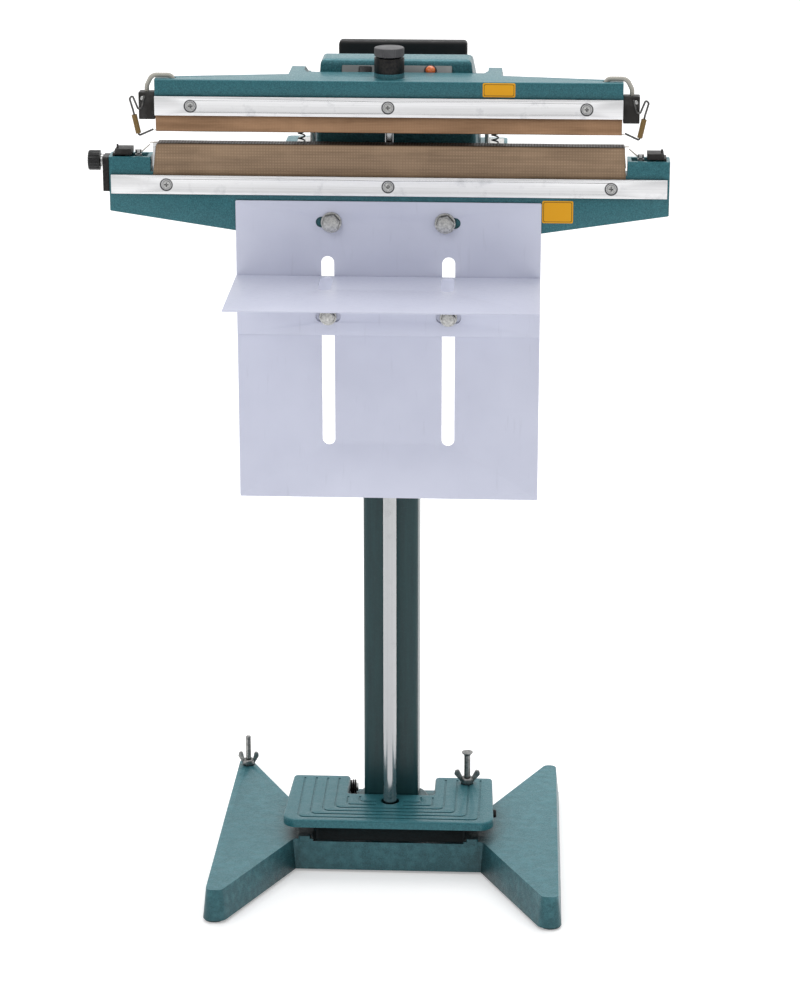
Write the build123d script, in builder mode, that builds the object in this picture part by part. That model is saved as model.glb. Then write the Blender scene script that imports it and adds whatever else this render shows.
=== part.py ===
"""Foot-pedal impulse heat sealer: two heated jaws on a column, closed by a pull rod.

Millimetres. +Z is up and the front of the machine faces -Y. The origin is on the floor,
on the column's axis. The model stands at rest: jaws open, pedal up.
"""
from build123d import *
import os
from math import radians, tan

os.makedirs("parts", exist_ok=True)

# ---------------------------------------------------------------- driving dimensions
FRONT_Y = -75.0            # front face of both jaw castings
UPPER_HALF = 240.0         # half length of the upper jaw
LOWER_HALF = 289.5         # half length of the lower jaw casting
BAR_REAR_Y = -57.0         # back face of the sealing bars
STRIP_T = 3.0              # clamp strip thickness
STRIP_H = 19.8             # clamp strip height
CLOTH_T = 0.8              # PTFE cloth with its glass backing, as laid
GAP = 0.3                  # clearance between pieces that move past each other

LOWER_STRIP_TOP = 776.0
LOWER_BAR_TOP = 808.0
LOWER_END_TOP = 794.0      # top of the lower casting beyond the cloth
BODY_END_BOTTOM = 737.5
BODY_MID_BOTTOM = 700.0
PLATFORM_TOP = 778.0       # rear platform that carries the control box

UPPER_BAR_BOTTOM = 821.0
UPPER_STRIP_TOP = 858.2
UPPER_TOP = 875.0          # top face of the upper casting
BOX_X = 5.0                # the box and the jaw's arms stand a little right of the middle
ARM_X = 103.0              # middle of each upper jaw arm, from BOX_X
ARM_W = 14.0
JAW_PIVOT_Y = 78.0
JAW_PIVOT_Z = 845.0

ROD_Y = -50.0              # pull rod axis
ROD_R = 7.5
ROD_TOP_R = 5.0            # threaded upper length of the rod

COLUMN_W = 60.0
COLUMN_CORNER = 6.0
COLUMN_WALL = 3.0
COLUMN_FOOT_Z = 14.0
COLUMN_HEAD_Z = 752.0

BASE_TOP = 37.5
BASE_UNDER = 3.0           # the casting stands on pads this high
BOSS_TOP = 50.0
BOSS_R = 41.0

PEDAL_TOP = 66.0
PEDAL_T = 5.0
PEDAL_LIP = 9.0
PEDAL_HALF = 112.0         # at the rear; the front is a little wider
PEDAL_FRONT_HALF = 116.0
PEDAL_FRONT_Y = -106.5
PEDAL_MID_Y = -31.0        # rear edge between the ears
EAR_REAR_Y = 19.0
EAR_INNER_X = 48.0
PIVOT_Y = 28.0
PIVOT_Z = 48.0
SHAFT_Z = 53.0             # cross shaft under the pedal

TRAY_HALF = 158.3
TRAY_T = 2.0
TRAY_TOP = 750.0
TRAY_BOTTOM = 428.5
SLOT_X = 63.0
SLOT_W = 13.5
SHELF_Z = 671.5            # upper face of the shelf
SHELF_DEPTH = 150.0
SHELF_T = 1.5
SHELF_LEG_BOTTOM = 607.5

BOX_HALF = 86.0
BOX_FRONT_Y = -17.0
BOX_REAR_Y = 128.0
BOX_TOP = 886.0
SHEET = 1.6                # sheet steel of the control box

SIDES = ((-1, "left"), (1, "right"))


def finish(piece, label):
    """Name a finished sub-part and write it out."""
    piece.part.label = label
    export_step(piece.part, f"parts/{label}.step")


def across(z, y=0.0, x=0.0):
    """A sketch plane facing +X, with its x along +Y and its y along +Z."""
    return Plane(origin=(x, y, z), x_dir=(0, 1, 0), z_dir=(1, 0, 0))


def facing_front(y, x=0.0, z=0.0):
    """A sketch plane facing -Y, with its x along +X and its y along +Z."""
    return Plane(origin=(x, y, z), x_dir=(1, 0, 0), z_dir=(0, -1, 0))


def level(z, x=0.0, y=0.0):
    """A sketch plane facing +Z."""
    return Plane(origin=(x, y, z), x_dir=(1, 0, 0), z_dir=(0, 0, 1))


# ================================================================ base and column
WING_TAPER = 6.0
PAD_R = 11.0
INNER_LUG_X = 53.5
OUTER_LUG_X = 84.0
LUG_T = 7.0

with BuildPart() as base_casting:
    # one side's plan at the underside, a little past the middle: hub edge, front arm, rear arm
    with BuildSketch(level(BASE_UNDER)):
        with BuildLine():
            Polyline(
                (-20, -97), (102, -97), (168, -232), (191, -232), (188, 128), (170, 131), (105, 0),
                (100, 50), (-20, 50), (-20, -97))
        make_face()
        fillet(vertices().filter_by(lambda v: v.X > 160), radius=10.5)
    extrude(amount=BASE_TOP - BASE_UNDER, taper=WING_TAPER)
    split(bisect_by=Plane.YZ.offset(-0.01), keep=Keep.TOP)
    mirror(about=Plane.YZ)
    # hollow underside, leaving walls and a top plate
    with BuildSketch(level(BASE_UNDER - 1)):
        with BuildLine():
            Polyline(
                (112, -96), (171, -214), (182, -214), (180, 108), (173, 108), (120, 4), (112, -96))
        make_face()
        mirror(about=Plane.YZ)
    extrude(amount=BASE_TOP - BASE_UNDER - 6, mode=Mode.SUBTRACT)
    # well under the pedal, open above, and the notch along the front wall
    with BuildSketch(level(BASE_TOP + 1)):
        with Locations((0, -65.5)):
            RectangleRounded(168, 47, 4)
    extrude(amount=-BASE_TOP, mode=Mode.SUBTRACT)
    with BuildSketch(level(BASE_TOP + 1)):
        with Locations((0, -94)):
            Rectangle(166, 22)
    extrude(amount=-3.5, mode=Mode.SUBTRACT)
    # column boss with its square socket
    with BuildSketch(level(BASE_TOP - 2)):
        Circle(BOSS_R)
    extrude(amount=BOSS_TOP - BASE_TOP + 2)
    fillet(edges().group_by(Axis.Z)[-1].filter_by(GeomType.CIRCLE), radius=3)
    with BuildSketch(level(COLUMN_FOOT_Z)):
        RectangleRounded(COLUMN_W + 0.1, COLUMN_W + 0.1, COLUMN_CORNER)
    extrude(amount=60, mode=Mode.SUBTRACT)
    # lugs for the pedal's pivot pins
    for side, _ in SIDES:
        for lug_x in (INNER_LUG_X, OUTER_LUG_X):
            with BuildSketch(across(0, x=side * lug_x - LUG_T / 2)):
                with BuildLine():
                    Polyline((PIVOT_Y - 14, BASE_TOP - 3), (PIVOT_Y + 14, BASE_TOP - 3),
                             (PIVOT_Y + 7, PIVOT_Z + 7), (PIVOT_Y - 7, PIVOT_Z + 7),
                             (PIVOT_Y - 14, BASE_TOP - 3))
                make_face()
            extrude(amount=LUG_T)
    with BuildSketch(across(0, x=-100)):
        with Locations((PIVOT_Y, PIVOT_Z)):
            Circle(5.05)
    extrude(amount=70, mode=Mode.SUBTRACT)
    with BuildSketch(across(0, x=30)):
        with Locations((PIVOT_Y, PIVOT_Z)):
            Circle(5.05)
    extrude(amount=70, mode=Mode.SUBTRACT)
    # posts beside the notch, at the foot of the pedal's sides
    for side, _ in SIDES:
        with BuildSketch(level(BASE_TOP - 3)):
            with Locations((side * 92.5, -89)):
                RectangleRounded(13, 10, 2)
        extrude(amount=6.5)
    # standing pads under the four tips and the middle of the hub
    for side, _ in SIDES:
        for pad_x, pad_y in ((179, -218), (177, 117)):
            with BuildSketch(level(0)):
                with Locations((side * pad_x, pad_y)):
                    Circle(PAD_R)
            extrude(amount=BASE_UNDER + 4)
    with BuildSketch(level(0)):
        Circle(24)
    extrude(amount=BASE_UNDER + 4)
    # tapped hole for the levelling stud and holes for the column's clamp screws
    with Locations((-173.5, 112, BASE_TOP)):
        Hole(radius=3.05, depth=45)
    for screw_x in (-16, 16):
        with BuildSketch(facing_front(60, x=screw_x, z=26)):
            Circle(4.05)
        extrude(amount=40, mode=Mode.SUBTRACT)
finish(base_casting, "base_casting")

with BuildPart() as column_tube:
    with BuildSketch(level(COLUMN_FOOT_Z)):
        RectangleRounded(COLUMN_W, COLUMN_W, COLUMN_CORNER)
        RectangleRounded(COLUMN_W - 2 * COLUMN_WALL, COLUMN_W - 2 * COLUMN_WALL,
                         COLUMN_CORNER - COLUMN_WALL, mode=Mode.SUBTRACT)
    extrude(amount=COLUMN_HEAD_Z - COLUMN_FOOT_Z)
finish(column_tube, "column_tube")

with BuildPart() as column_clamp_screws:
    for screw_x in (-16, 16):
        with BuildSketch(facing_front(50, x=screw_x, z=26)):
            Circle(4)
        extrude(amount=50 - COLUMN_W / 2 - 0.1)
        with BuildSketch(facing_front(56, x=screw_x, z=26)):
            RegularPolygon(7.5, 6)
        extrude(amount=6)
finish(column_clamp_screws, "column_clamp_screws")

# ================================================================ pedal
RIB_INNER_X = 58.0
RIB_OUTER_X = 79.0

with BuildPart() as pedal:
    with BuildSketch(level(PEDAL_TOP - PEDAL_LIP)):
        with BuildLine():
            Polyline(
                (-PEDAL_HALF, EAR_REAR_Y), (-PEDAL_FRONT_HALF, PEDAL_FRONT_Y),
                (PEDAL_FRONT_HALF, PEDAL_FRONT_Y), (PEDAL_HALF, EAR_REAR_Y), (EAR_INNER_X, EAR_REAR_Y), (EAR_INNER_X, PEDAL_MID_Y),
                (-EAR_INNER_X, PEDAL_MID_Y), (-EAR_INNER_X, EAR_REAR_Y), (-PEDAL_HALF, EAR_REAR_Y))
        make_face()
        fillet(vertices().group_by(Axis.Y)[0], radius=16)
        fillet(vertices().group_by(Axis.Y)[-1], radius=5)
        fillet(vertices().filter_by(lambda v: v.Y == PEDAL_MID_Y), radius=4)
    extrude(amount=PEDAL_LIP)
    # the lip stays round the outside; the underside is hollow
    with BuildSketch(level(PEDAL_TOP - PEDAL_LIP - 1)):
        with Locations((0, -69)):
            RectangleRounded(2 * PEDAL_HALF - 10, 65, 10)
        for side, _ in SIDES:
            with Locations((side * 79.5, -18)):
                Rectangle(52, 64)
    extrude(amount=PEDAL_LIP - PEDAL_T + 1, mode=Mode.SUBTRACT)
    # relief over the column's boss
    with BuildSketch(level(PEDAL_TOP - PEDAL_LIP - 1)):
        Circle(BOSS_R + 3)
    extrude(amount=PEDAL_LIP - PEDAL_T + 1, mode=Mode.SUBTRACT)
    fillet(faces().sort_by(Axis.Z)[-1].edges(), radius=2.2)
    # ribs that carry the pivot, and ribs that carry the cross shaft
    for side, _ in SIDES:
        with BuildSketch(across(0, x=(side * (RIB_INNER_X + RIB_OUTER_X) - RIB_OUTER_X + RIB_INNER_X) / 2)):
            with BuildLine():
                Polyline((8, PEDAL_TOP - PEDAL_T), (EAR_REAR_Y, PEDAL_TOP - PEDAL_T),
                         (PIVOT_Y + 8, PIVOT_Z + 6), (PIVOT_Y + 8, PIVOT_Z - 6),
                         (PIVOT_Y - 6, PIVOT_Z - 8), (8, PEDAL_TOP - PEDAL_T))
            make_face()
        extrude(amount=RIB_OUTER_X - RIB_INNER_X)
        with BuildSketch(across(0, x=side * 78 - 3)):
            with Locations((ROD_Y - 0.75, PEDAL_TOP - PEDAL_T - 7)):
                Rectangle(14.5, 15)
        extrude(amount=6)
    with BuildSketch(across(0, x=-140)):
        with Locations((PIVOT_Y, PIVOT_Z)):
            Circle(5.3)
        with Locations((ROD_Y, SHAFT_Z)):
            Circle(4.55)
    extrude(amount=280, mode=Mode.SUBTRACT)
    # hole for the pull rod and tapped hole for the stop screw
    with Locations((0, ROD_Y, PEDAL_TOP)):
        Hole(radius=10, depth=20)
    with Locations((84, 4, PEDAL_TOP)):
        Hole(radius=3.55, depth=20)
    # nested U grooves, cut shallow in the tread
    for ring in range(1, 5):
        groove_x = PEDAL_HALF - 13 * ring
        groove_y = PEDAL_FRONT_Y + 9 * ring
        with BuildSketch(level(PEDAL_TOP - 0.8)):
            with BuildLine():
                FilletPolyline((-groove_x, 11), (-groove_x, groove_y), (groove_x, groove_y),
                               (groove_x, 11), radius=7)
            trace(line_width=2.2)
        extrude(amount=2, mode=Mode.SUBTRACT)
    for ring in (5, 6):
        groove_x = PEDAL_HALF - 13 * ring
        groove_y = PEDAL_FRONT_Y + 9 * ring
        with BuildSketch(level(PEDAL_TOP - 0.8)):
            with BuildLine():
                FilletPolyline((-groove_x, -39), (-groove_x, groove_y), (-15, groove_y), radius=4)
                FilletPolyline((groove_x, -39), (groove_x, groove_y), (15, groove_y), radius=4)
            trace(line_width=2.2)
        extrude(amount=2, mode=Mode.SUBTRACT)
finish(pedal, "pedal")

PIN_OUTER_X = 88.0

with BuildPart() as pedal_pivot_pins:
    # the left pin reaches further in, to carry the return spring
    for side, inner_x in ((-1, 40.0), (1, 49.5)):
        with Locations(Location((side * (inner_x + PIN_OUTER_X) / 2, PIVOT_Y, PIVOT_Z), (0, 90, 0))):
            Cylinder(radius=5, height=PIN_OUTER_X - inner_x)
        with Locations(Location((side * (PIN_OUTER_X + 2.5), PIVOT_Y, PIVOT_Z), (0, 90, 0))):
            Cylinder(radius=8.5, height=5)
finish(pedal_pivot_pins, "pedal_pivot_pins")

SPRING_WIRE = 1.0

with BuildPart() as pedal_return_spring:
    # torsion spring wound on the left pivot pin, inside the lug
    with BuildLine() as coil:
        Helix(pitch=2.3, height=5.5, radius=7.6, center=(-48, PIVOT_Y, PIVOT_Z), direction=(1, 0, 0))
    with BuildSketch(Plane(origin=coil.line @ 0, z_dir=coil.line % 0)):
        Circle(SPRING_WIRE)
    sweep(path=coil.line, is_frenet=True)
finish(pedal_return_spring, "pedal_return_spring")

with BuildPart() as pedal_cross_shaft:
    with Locations(Location((3, ROD_Y, SHAFT_Z), (0, 90, 0))):
        Cylinder(radius=4.5, height=230)
    chamfer(edges().filter_by(GeomType.CIRCLE), length=0.8)
finish(pedal_cross_shaft, "pedal_cross_shaft")


def wing_nut(x, y, z, bore, spread=11.5):
    """A wing nut with its seat at height z: round hub and two raised ears."""
    with BuildPart() as nut:
        with Locations((x, y, z)):
            Cylinder(radius=bore + 3.6, height=7, align=(Align.CENTER, Align.CENTER, Align.MIN))
        fillet(edges().filter_by(GeomType.CIRCLE).group_by(Axis.Z)[-1], radius=1.5)
        for side, _ in SIDES:
            with BuildSketch(facing_front(y + 1.6, x=x, z=z)):
                with BuildLine():
                    Polyline((side * 2, 1), (side * 6.5, 1.5), (side * (spread + 3), 11),
                             (side * (spread + 2), 15), (side * (spread - 2), 16), (side * 5, 7),
                             (side * 2, 7), (side * 2, 1))
                make_face()
                fillet(vertices().filter_by(lambda v: v.Y > 9), radius=1.8)
            extrude(amount=3.2)
        with Locations((x, y, z + 20)):
            Hole(radius=bore, depth=40)
    return nut


STOP_X = 84.0
STOP_Y = 4.0

with BuildPart() as pedal_stop_screw:
    with Locations((STOP_X, STOP_Y, 43)):
        Cylinder(radius=3.5, height=57, align=(Align.CENTER, Align.CENTER, Align.MIN))
    with Locations((STOP_X, STOP_Y, 100)):
        Cone(bottom_radius=3.5, top_radius=6.2, height=2.8,
             align=(Align.CENTER, Align.CENTER, Align.MIN))
    with Locations((STOP_X, STOP_Y, 102.8)):
        Cylinder(radius=6.2, height=0.9, align=(Align.CENTER, Align.CENTER, Align.MIN))
    with Locations((STOP_X, STOP_Y, 103.7)):
        Box(9, 1.2, 3)
        Box(1.2, 9, 3)
    with Locations((STOP_X, STOP_Y, 103.8)):
        Box(20, 20, 6, mode=Mode.SUBTRACT, align=(Align.CENTER, Align.CENTER, Align.MIN))
finish(pedal_stop_screw, "pedal_stop_screw")

pedal_stop_wing_nut = wing_nut(STOP_X, STOP_Y, PEDAL_TOP, bore=3.55)
finish(pedal_stop_wing_nut, "pedal_stop_wing_nut")

STUD_X = -173.5
STUD_Y = 112.0

with BuildPart() as levelling_stud:
    with Locations((STUD_X, STUD_Y, 2)):
        Cylinder(radius=3, height=71, align=(Align.CENTER, Align.CENTER, Align.MIN))
    chamfer(edges().filter_by(GeomType.CIRCLE), length=0.7)
finish(levelling_stud, "levelling_stud")

levelling_wing_nut = wing_nut(STUD_X, STUD_Y, BASE_TOP, bore=3.05, spread=9.0)
finish(levelling_wing_nut, "levelling_wing_nut")

# ================================================================ pull rod and knob
ROD_FOOT_Z = 64.0
ROD_STEP_Z = 768.0
ROD_TOP_Z = 903.0
KNOB_R = 15.5
CUP_BOTTOM = 880.0
CUP_TOP = 895.3
KNOB_BOTTOM = 896.9
KNOB_TOP = 905.8

with BuildPart() as pull_rod:
    with Locations((0, ROD_Y, ROD_FOOT_Z)):
        Cylinder(radius=ROD_R, height=ROD_STEP_Z - ROD_FOOT_Z,
                 align=(Align.CENTER, Align.CENTER, Align.MIN))
    with Locations((0, ROD_Y, ROD_STEP_Z)):
        Cylinder(radius=ROD_TOP_R, height=ROD_TOP_Z - ROD_STEP_Z,
                 align=(Align.CENTER, Align.CENTER, Align.MIN))
finish(pull_rod, "pull_rod")

with BuildPart() as rod_end_eye:
    with Locations(Location((0, ROD_Y, SHAFT_Z), (0, 90, 0))):
        Cylinder(radius=8.8, height=13)
    with Locations((0, ROD_Y, SHAFT_Z)):
        Cylinder(radius=6.0, height=ROD_FOOT_Z - SHAFT_Z,
                 align=(Align.CENTER, Align.CENTER, Align.MIN))
    with Locations(Location((0, ROD_Y, SHAFT_Z), (0, 90, 0))):
        Cylinder(radius=6.3, height=20, mode=Mode.SUBTRACT)
finish(rod_end_eye, "rod_end_eye")

with BuildPart() as pressure_knob:
    with Locations((0, ROD_Y, KNOB_BOTTOM)):
        Cylinder(radius=KNOB_R, height=KNOB_TOP - KNOB_BOTTOM,
                 align=(Align.CENTER, Align.CENTER, Align.MIN))
    chamfer(edges().filter_by(GeomType.CIRCLE), length=0.8)
    with Locations((0, ROD_Y, KNOB_BOTTOM)):
        with PolarLocations(KNOB_R, 48):
            Cylinder(radius=0.55, height=20, mode=Mode.SUBTRACT)
    with Locations((0, ROD_Y, KNOB_BOTTOM - 1)):
        Cylinder(radius=ROD_TOP_R + 0.05, height=ROD_TOP_Z - KNOB_BOTTOM + 1.2,
                 align=(Align.CENTER, Align.CENTER, Align.MIN), mode=Mode.SUBTRACT)
finish(pressure_knob, "pressure_knob")

with BuildPart() as spring_cup:
    with Locations((0, ROD_Y, CUP_BOTTOM)):
        Cylinder(radius=KNOB_R, height=CUP_TOP - CUP_BOTTOM,
                 align=(Align.CENTER, Align.CENTER, Align.MIN))
    with Locations((0, ROD_Y, CUP_BOTTOM + 2)):
        Cylinder(radius=12.5, height=CUP_TOP - CUP_BOTTOM,
                 align=(Align.CENTER, Align.CENTER, Align.MIN), mode=Mode.SUBTRACT)
    with Locations((0, ROD_Y, CUP_BOTTOM)):
        Cylinder(radius=8.5, height=20, mode=Mode.SUBTRACT)
finish(spring_cup, "spring_cup")

with BuildPart() as pressure_spring:
    with BuildLine() as coil:
        Helix(pitch=3.4, height=10, radius=9.8, center=(0, ROD_Y, CUP_BOTTOM + 3.2))
    with BuildSketch(Plane(origin=coil.line @ 0, z_dir=coil.line % 0)):
        Circle(SPRING_WIRE)
    sweep(path=coil.line, is_frenet=True)
finish(pressure_spring, "pressure_spring")

# ================================================================ lower jaw
LOWER_SCREW_X = (-229.5, 0, 229.5)
LOWER_SCREW_Z = LOWER_STRIP_TOP - STRIP_H / 2
BAR_SEAT_Z = 779.0
BODY_REAR_Y = -47.0
HUB_HALF = 62.0
HUB_REAR_Y = 42.0
PLATFORM_HALF = 120.0
TIMER_Y = -61.0
TIMER_Z = 787.7
RECESS_FROM = 250.0
RECESS_TO = 284.0
TRAY_BOLT_X = 59.0
TRAY_BOLT_Z = 728.0


def body_bottom(x):
    """Height of the lower casting's sloping underside at a distance x from the middle."""
    slope = (BODY_END_BOTTOM - BODY_MID_BOTTOM) / (LOWER_HALF - 40)
    return BODY_MID_BOTTOM + slope * (x - 40)


with BuildPart() as lower_body:
    with BuildSketch(facing_front(BODY_REAR_Y)):
        with BuildLine():
            Polyline(
                (-LOWER_HALF, BODY_END_BOTTOM), (-LOWER_HALF, LOWER_END_TOP), (-246, LOWER_END_TOP),
                (-246, BAR_SEAT_Z), (246, BAR_SEAT_Z), (246, LOWER_END_TOP),
                (LOWER_HALF, LOWER_END_TOP), (LOWER_HALF, BODY_END_BOTTOM), (40, BODY_MID_BOTTOM),
                (-40, BODY_MID_BOTTOM), (-LOWER_HALF, BODY_END_BOTTOM))
        make_face()
    extrude(amount=BODY_REAR_Y - FRONT_Y)
    fillet(edges().filter_by(Axis.Z).group_by(Axis.X)[0], radius=2.5)
    fillet(edges().filter_by(Axis.Z).group_by(Axis.X)[-1], radius=2.5)
    # pockets cast into the back of each arm
    for side, _ in SIDES:
        with BuildSketch(facing_front(BODY_REAR_Y)):
            with BuildLine():
                Polyline((side * 74, body_bottom(74) + 8), (side * 240, body_bottom(240) + 8),
                         (side * 240, 771), (side * 74, 771), (side * 74, body_bottom(74) + 8))
            make_face()
        extrude(amount=BODY_REAR_Y - FRONT_Y - 7, mode=Mode.SUBTRACT)
    # hub over the column, and the platform that carries the box and the jaw's pivots
    with BuildSketch(level(BODY_MID_BOTTOM + 4)):
        with Locations((0, (BODY_REAR_Y + HUB_REAR_Y) / 2)):
            Rectangle(2 * HUB_HALF, HUB_REAR_Y - BODY_REAR_Y)
    extrude(amount=PLATFORM_TOP - 5 - BODY_MID_BOTTOM - 4)
    with BuildSketch(level(PLATFORM_TOP - 10)):
        with Locations((0, 39.5)):
            RectangleRounded(2 * PLATFORM_HALF, 173, 6)
    extrude(amount=10)
    for side, _ in SIDES:
        with BuildSketch(across(0, x=side * 57 - 5)):
            with BuildLine():
                Polyline((HUB_REAR_Y, BODY_MID_BOTTOM + 14), (HUB_REAR_Y, PLATFORM_TOP - 9),
                         (118, PLATFORM_TOP - 9), (HUB_REAR_Y, BODY_MID_BOTTOM + 14))
            make_face()
        extrude(amount=10)
    # column socket, rod guide hole, and the recesses that hold the terminals
    with BuildSketch(level(BODY_MID_BOTTOM)):
        RectangleRounded(COLUMN_W + 0.1, COLUMN_W + 0.1, COLUMN_CORNER)
    extrude(amount=COLUMN_HEAD_Z - BODY_MID_BOTTOM + 0.1, mode=Mode.SUBTRACT)
    with Locations((0, ROD_Y, BODY_MID_BOTTOM - 5)):
        Cylinder(radius=ROD_R + 0.5, height=ROD_STEP_Z - BODY_MID_BOTTOM + 8,
                 align=(Align.CENTER, Align.CENTER, Align.MIN), mode=Mode.SUBTRACT)
        Cylinder(radius=ROD_TOP_R + 0.6, height=200, mode=Mode.SUBTRACT)
    for side, _ in SIDES:
        with Locations((side * (RECESS_FROM + RECESS_TO) / 2, TIMER_Y, BAR_SEAT_Z)):
            Box(RECESS_TO - RECESS_FROM, 18, 30,
                align=(Align.CENTER, Align.CENTER, Align.MIN), mode=Mode.SUBTRACT)
    # holes: timer bush at the left end, clamp screws, tray bolts
    with Locations(Location((-LOWER_HALF, TIMER_Y, TIMER_Z), (0, 90, 0))):
        Cylinder(radius=3.6, height=20, mode=Mode.SUBTRACT)
    for screw_x in LOWER_SCREW_X:
        with Locations(Location((screw_x, FRONT_Y, LOWER_SCREW_Z), (90, 0, 0))):
            Cylinder(radius=2.05, height=24, mode=Mode.SUBTRACT)
    for side, _ in SIDES:
        with Locations(Location((side * TRAY_BOLT_X, FRONT_Y, TRAY_BOLT_Z), (90, 0, 0))):
            Cylinder(radius=5.05, height=52, mode=Mode.SUBTRACT)
finish(lower_body, "lower_body")


def sealing_bar(half, rear_y, seat, face_front, face_rear):
    """An aluminium bar along X with rounded edges along its sealing face."""
    with BuildPart() as bar:
        with BuildSketch(across(0, x=-half)):
            with BuildLine():
                Polyline((FRONT_Y, seat), (FRONT_Y, face_front), (rear_y, face_rear),
                         (rear_y, seat), (FRONT_Y, seat))
            make_face()
            fillet(vertices().filter_by(lambda v: abs(v.Y - seat) > 5), radius=2.5)
        extrude(amount=2 * half)
    return bar


def wrapped_cloth(half, rear_y, seam, face_front, face_rear, rear_seam, screw_xs, screw_z):
    """Cloth wrapped round a sealing bar: from the clamp strip, over the face and down the back."""
    outside = Side.LEFT if seam < face_front else Side.RIGHT
    with BuildPart() as cloth:
        with BuildSketch(across(0, x=-half)):
            with BuildLine():
                FilletPolyline((FRONT_Y, seam), (FRONT_Y, face_front), (rear_y, face_rear),
                               (rear_y, rear_seam), radius=2.6)
                offset(amount=CLOTH_T, side=outside)
            make_face()
        extrude(amount=2 * half)
        for screw_x in screw_xs:
            with Locations(Location((screw_x, FRONT_Y, screw_z), (90, 0, 0))):
                Cylinder(radius=2.1, height=8, mode=Mode.SUBTRACT)
    return cloth


def clamp_strip(half, top, screw_xs):
    """Flat aluminium strip that clamps the cloth, spot-faced and countersunk for its screws."""
    middle = top - STRIP_H / 2
    back_y = FRONT_Y - CLOTH_T - 0.05
    with BuildPart() as strip:
        with BuildSketch(facing_front(back_y)):
            with Locations((0, middle)):
                Rectangle(2 * half, STRIP_H)
        extrude(amount=STRIP_T)
        for screw_x in screw_xs:
            with Locations(Location((screw_x, back_y - STRIP_T, middle), (90, 0, 0))):
                Cylinder(radius=2.3, height=20, mode=Mode.SUBTRACT)
                Cylinder(radius=6.1, height=1.4, mode=Mode.SUBTRACT)
                Cone(bottom_radius=2.3, top_radius=4.5, height=2.2,
                     align=(Align.CENTER, Align.CENTER, Align.MAX), mode=Mode.SUBTRACT)
    return strip


def strip_screws(middle, screw_xs):
    """Countersunk cross-head screws that hold a clamp strip."""
    face_y = FRONT_Y - CLOTH_T - 0.05 - STRIP_T
    with BuildPart() as screws:
        for screw_x in screw_xs:
            with Locations(Location((screw_x, face_y, middle), (90, 0, 0))):
                Cylinder(radius=2, height=14, align=(Align.CENTER, Align.CENTER, Align.MAX))
                Cone(bottom_radius=2, top_radius=4.2, height=2.2,
                     align=(Align.CENTER, Align.CENTER, Align.MAX))
                Box(4.4, 1.1, 2.4, mode=Mode.SUBTRACT)
                Box(1.1, 4.4, 2.4, mode=Mode.SUBTRACT)
    return screws


CLOTH_HALF = 245.0
RIBBON_Y = -67.0
lower_sealing_bar = sealing_bar(243, BAR_REAR_Y, BAR_SEAT_Z, LOWER_BAR_TOP, LOWER_BAR_TOP)
finish(lower_sealing_bar, "lower_sealing_bar")

with BuildPart() as lower_heating_ribbon:
    with Locations((0, RIBBON_Y, LOWER_BAR_TOP + 0.2)):
        Box(494, 5, 0.3)
finish(lower_heating_ribbon, "lower_heating_ribbon")

lower_ptfe_cloth = wrapped_cloth(
    CLOTH_HALF, BAR_REAR_Y, LOWER_STRIP_TOP - 15, LOWER_BAR_TOP + 0.4, LOWER_BAR_TOP + 0.4, 783,
    LOWER_SCREW_X, LOWER_SCREW_Z)
finish(lower_ptfe_cloth, "lower_ptfe_cloth")
lower_clamp_strip = clamp_strip(287, LOWER_STRIP_TOP, LOWER_SCREW_X)
finish(lower_clamp_strip, "lower_clamp_strip")
lower_strip_screws = strip_screws(LOWER_SCREW_Z, LOWER_SCREW_X)
finish(lower_strip_screws, "lower_strip_screws")

with BuildPart() as lower_terminal_blocks:
    for side, _ in SIDES:
        with Locations((side * 274.5, TIMER_Y, LOWER_END_TOP + 1.5)):
            Box(17, 20, 6, align=(Align.CENTER, Align.CENTER, Align.MIN))
        with Locations((side * 281, TIMER_Y - 4, LOWER_END_TOP + 7.5)):
            Cylinder(radius=1, height=4, align=(Align.CENTER, Align.CENTER, Align.MIN))
        with Locations((side * 284.7, TIMER_Y, LOWER_END_TOP)):
            Box(2, 20, 1.5, align=(Align.CENTER, Align.CENTER, Align.MIN))
        with Locations((side * 283, TIMER_Y, LOWER_END_TOP + 1.5)):
            Box(5.4, 20, 1.4, align=(Align.CENTER, Align.CENTER, Align.MIN))
finish(lower_terminal_blocks, "lower_terminal_blocks")

with BuildPart() as lower_terminal_screws:
    for side, _ in SIDES:
        with Locations((side * 259.5, TIMER_Y - 3, BAR_SEAT_Z)):
            Cylinder(radius=2, height=20, align=(Align.CENTER, Align.CENTER, Align.MIN))
        with Locations((side * 259.5, TIMER_Y - 3, LOWER_END_TOP - 1)):
            Cylinder(radius=3.6, height=2.2, align=(Align.CENTER, Align.CENTER, Align.MIN))
        with Locations((side * 259.5, TIMER_Y - 3, LOWER_END_TOP + 2.5)):
            Cylinder(radius=3.2, height=3.5, align=(Align.CENTER, Align.CENTER, Align.MIN))
finish(lower_terminal_screws, "lower_terminal_screws")

with BuildPart() as lower_ribbon_wires:
    for side, _ in SIDES:
        for wire_y in (-66.2, -62.2):
            with BuildLine() as run:
                Line((side * 256.3, wire_y, LOWER_END_TOP + 3.6), (side * 247.2, -64.5, 805.5))
            with BuildSketch(Plane(origin=run.line @ 0, z_dir=run.line % 0)):
                Circle(0.55)
            sweep(path=run.line)
finish(lower_ribbon_wires, "lower_ribbon_wires")

PLATE_T = 6.5
PLATE_X = -LOWER_HALF - 0.05 - PLATE_T
NUT_T = 3.5

with BuildPart() as timer_plate:
    with BuildSketch(across(0, x=PLATE_X)):
        with Locations((TIMER_Y, 775)):
            RectangleRounded(24, 36, 2)
        with Locations((TIMER_Y, TIMER_Z)):
            Circle(3.6, mode=Mode.SUBTRACT)
    extrude(amount=PLATE_T)
finish(timer_plate, "timer_plate")

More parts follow.
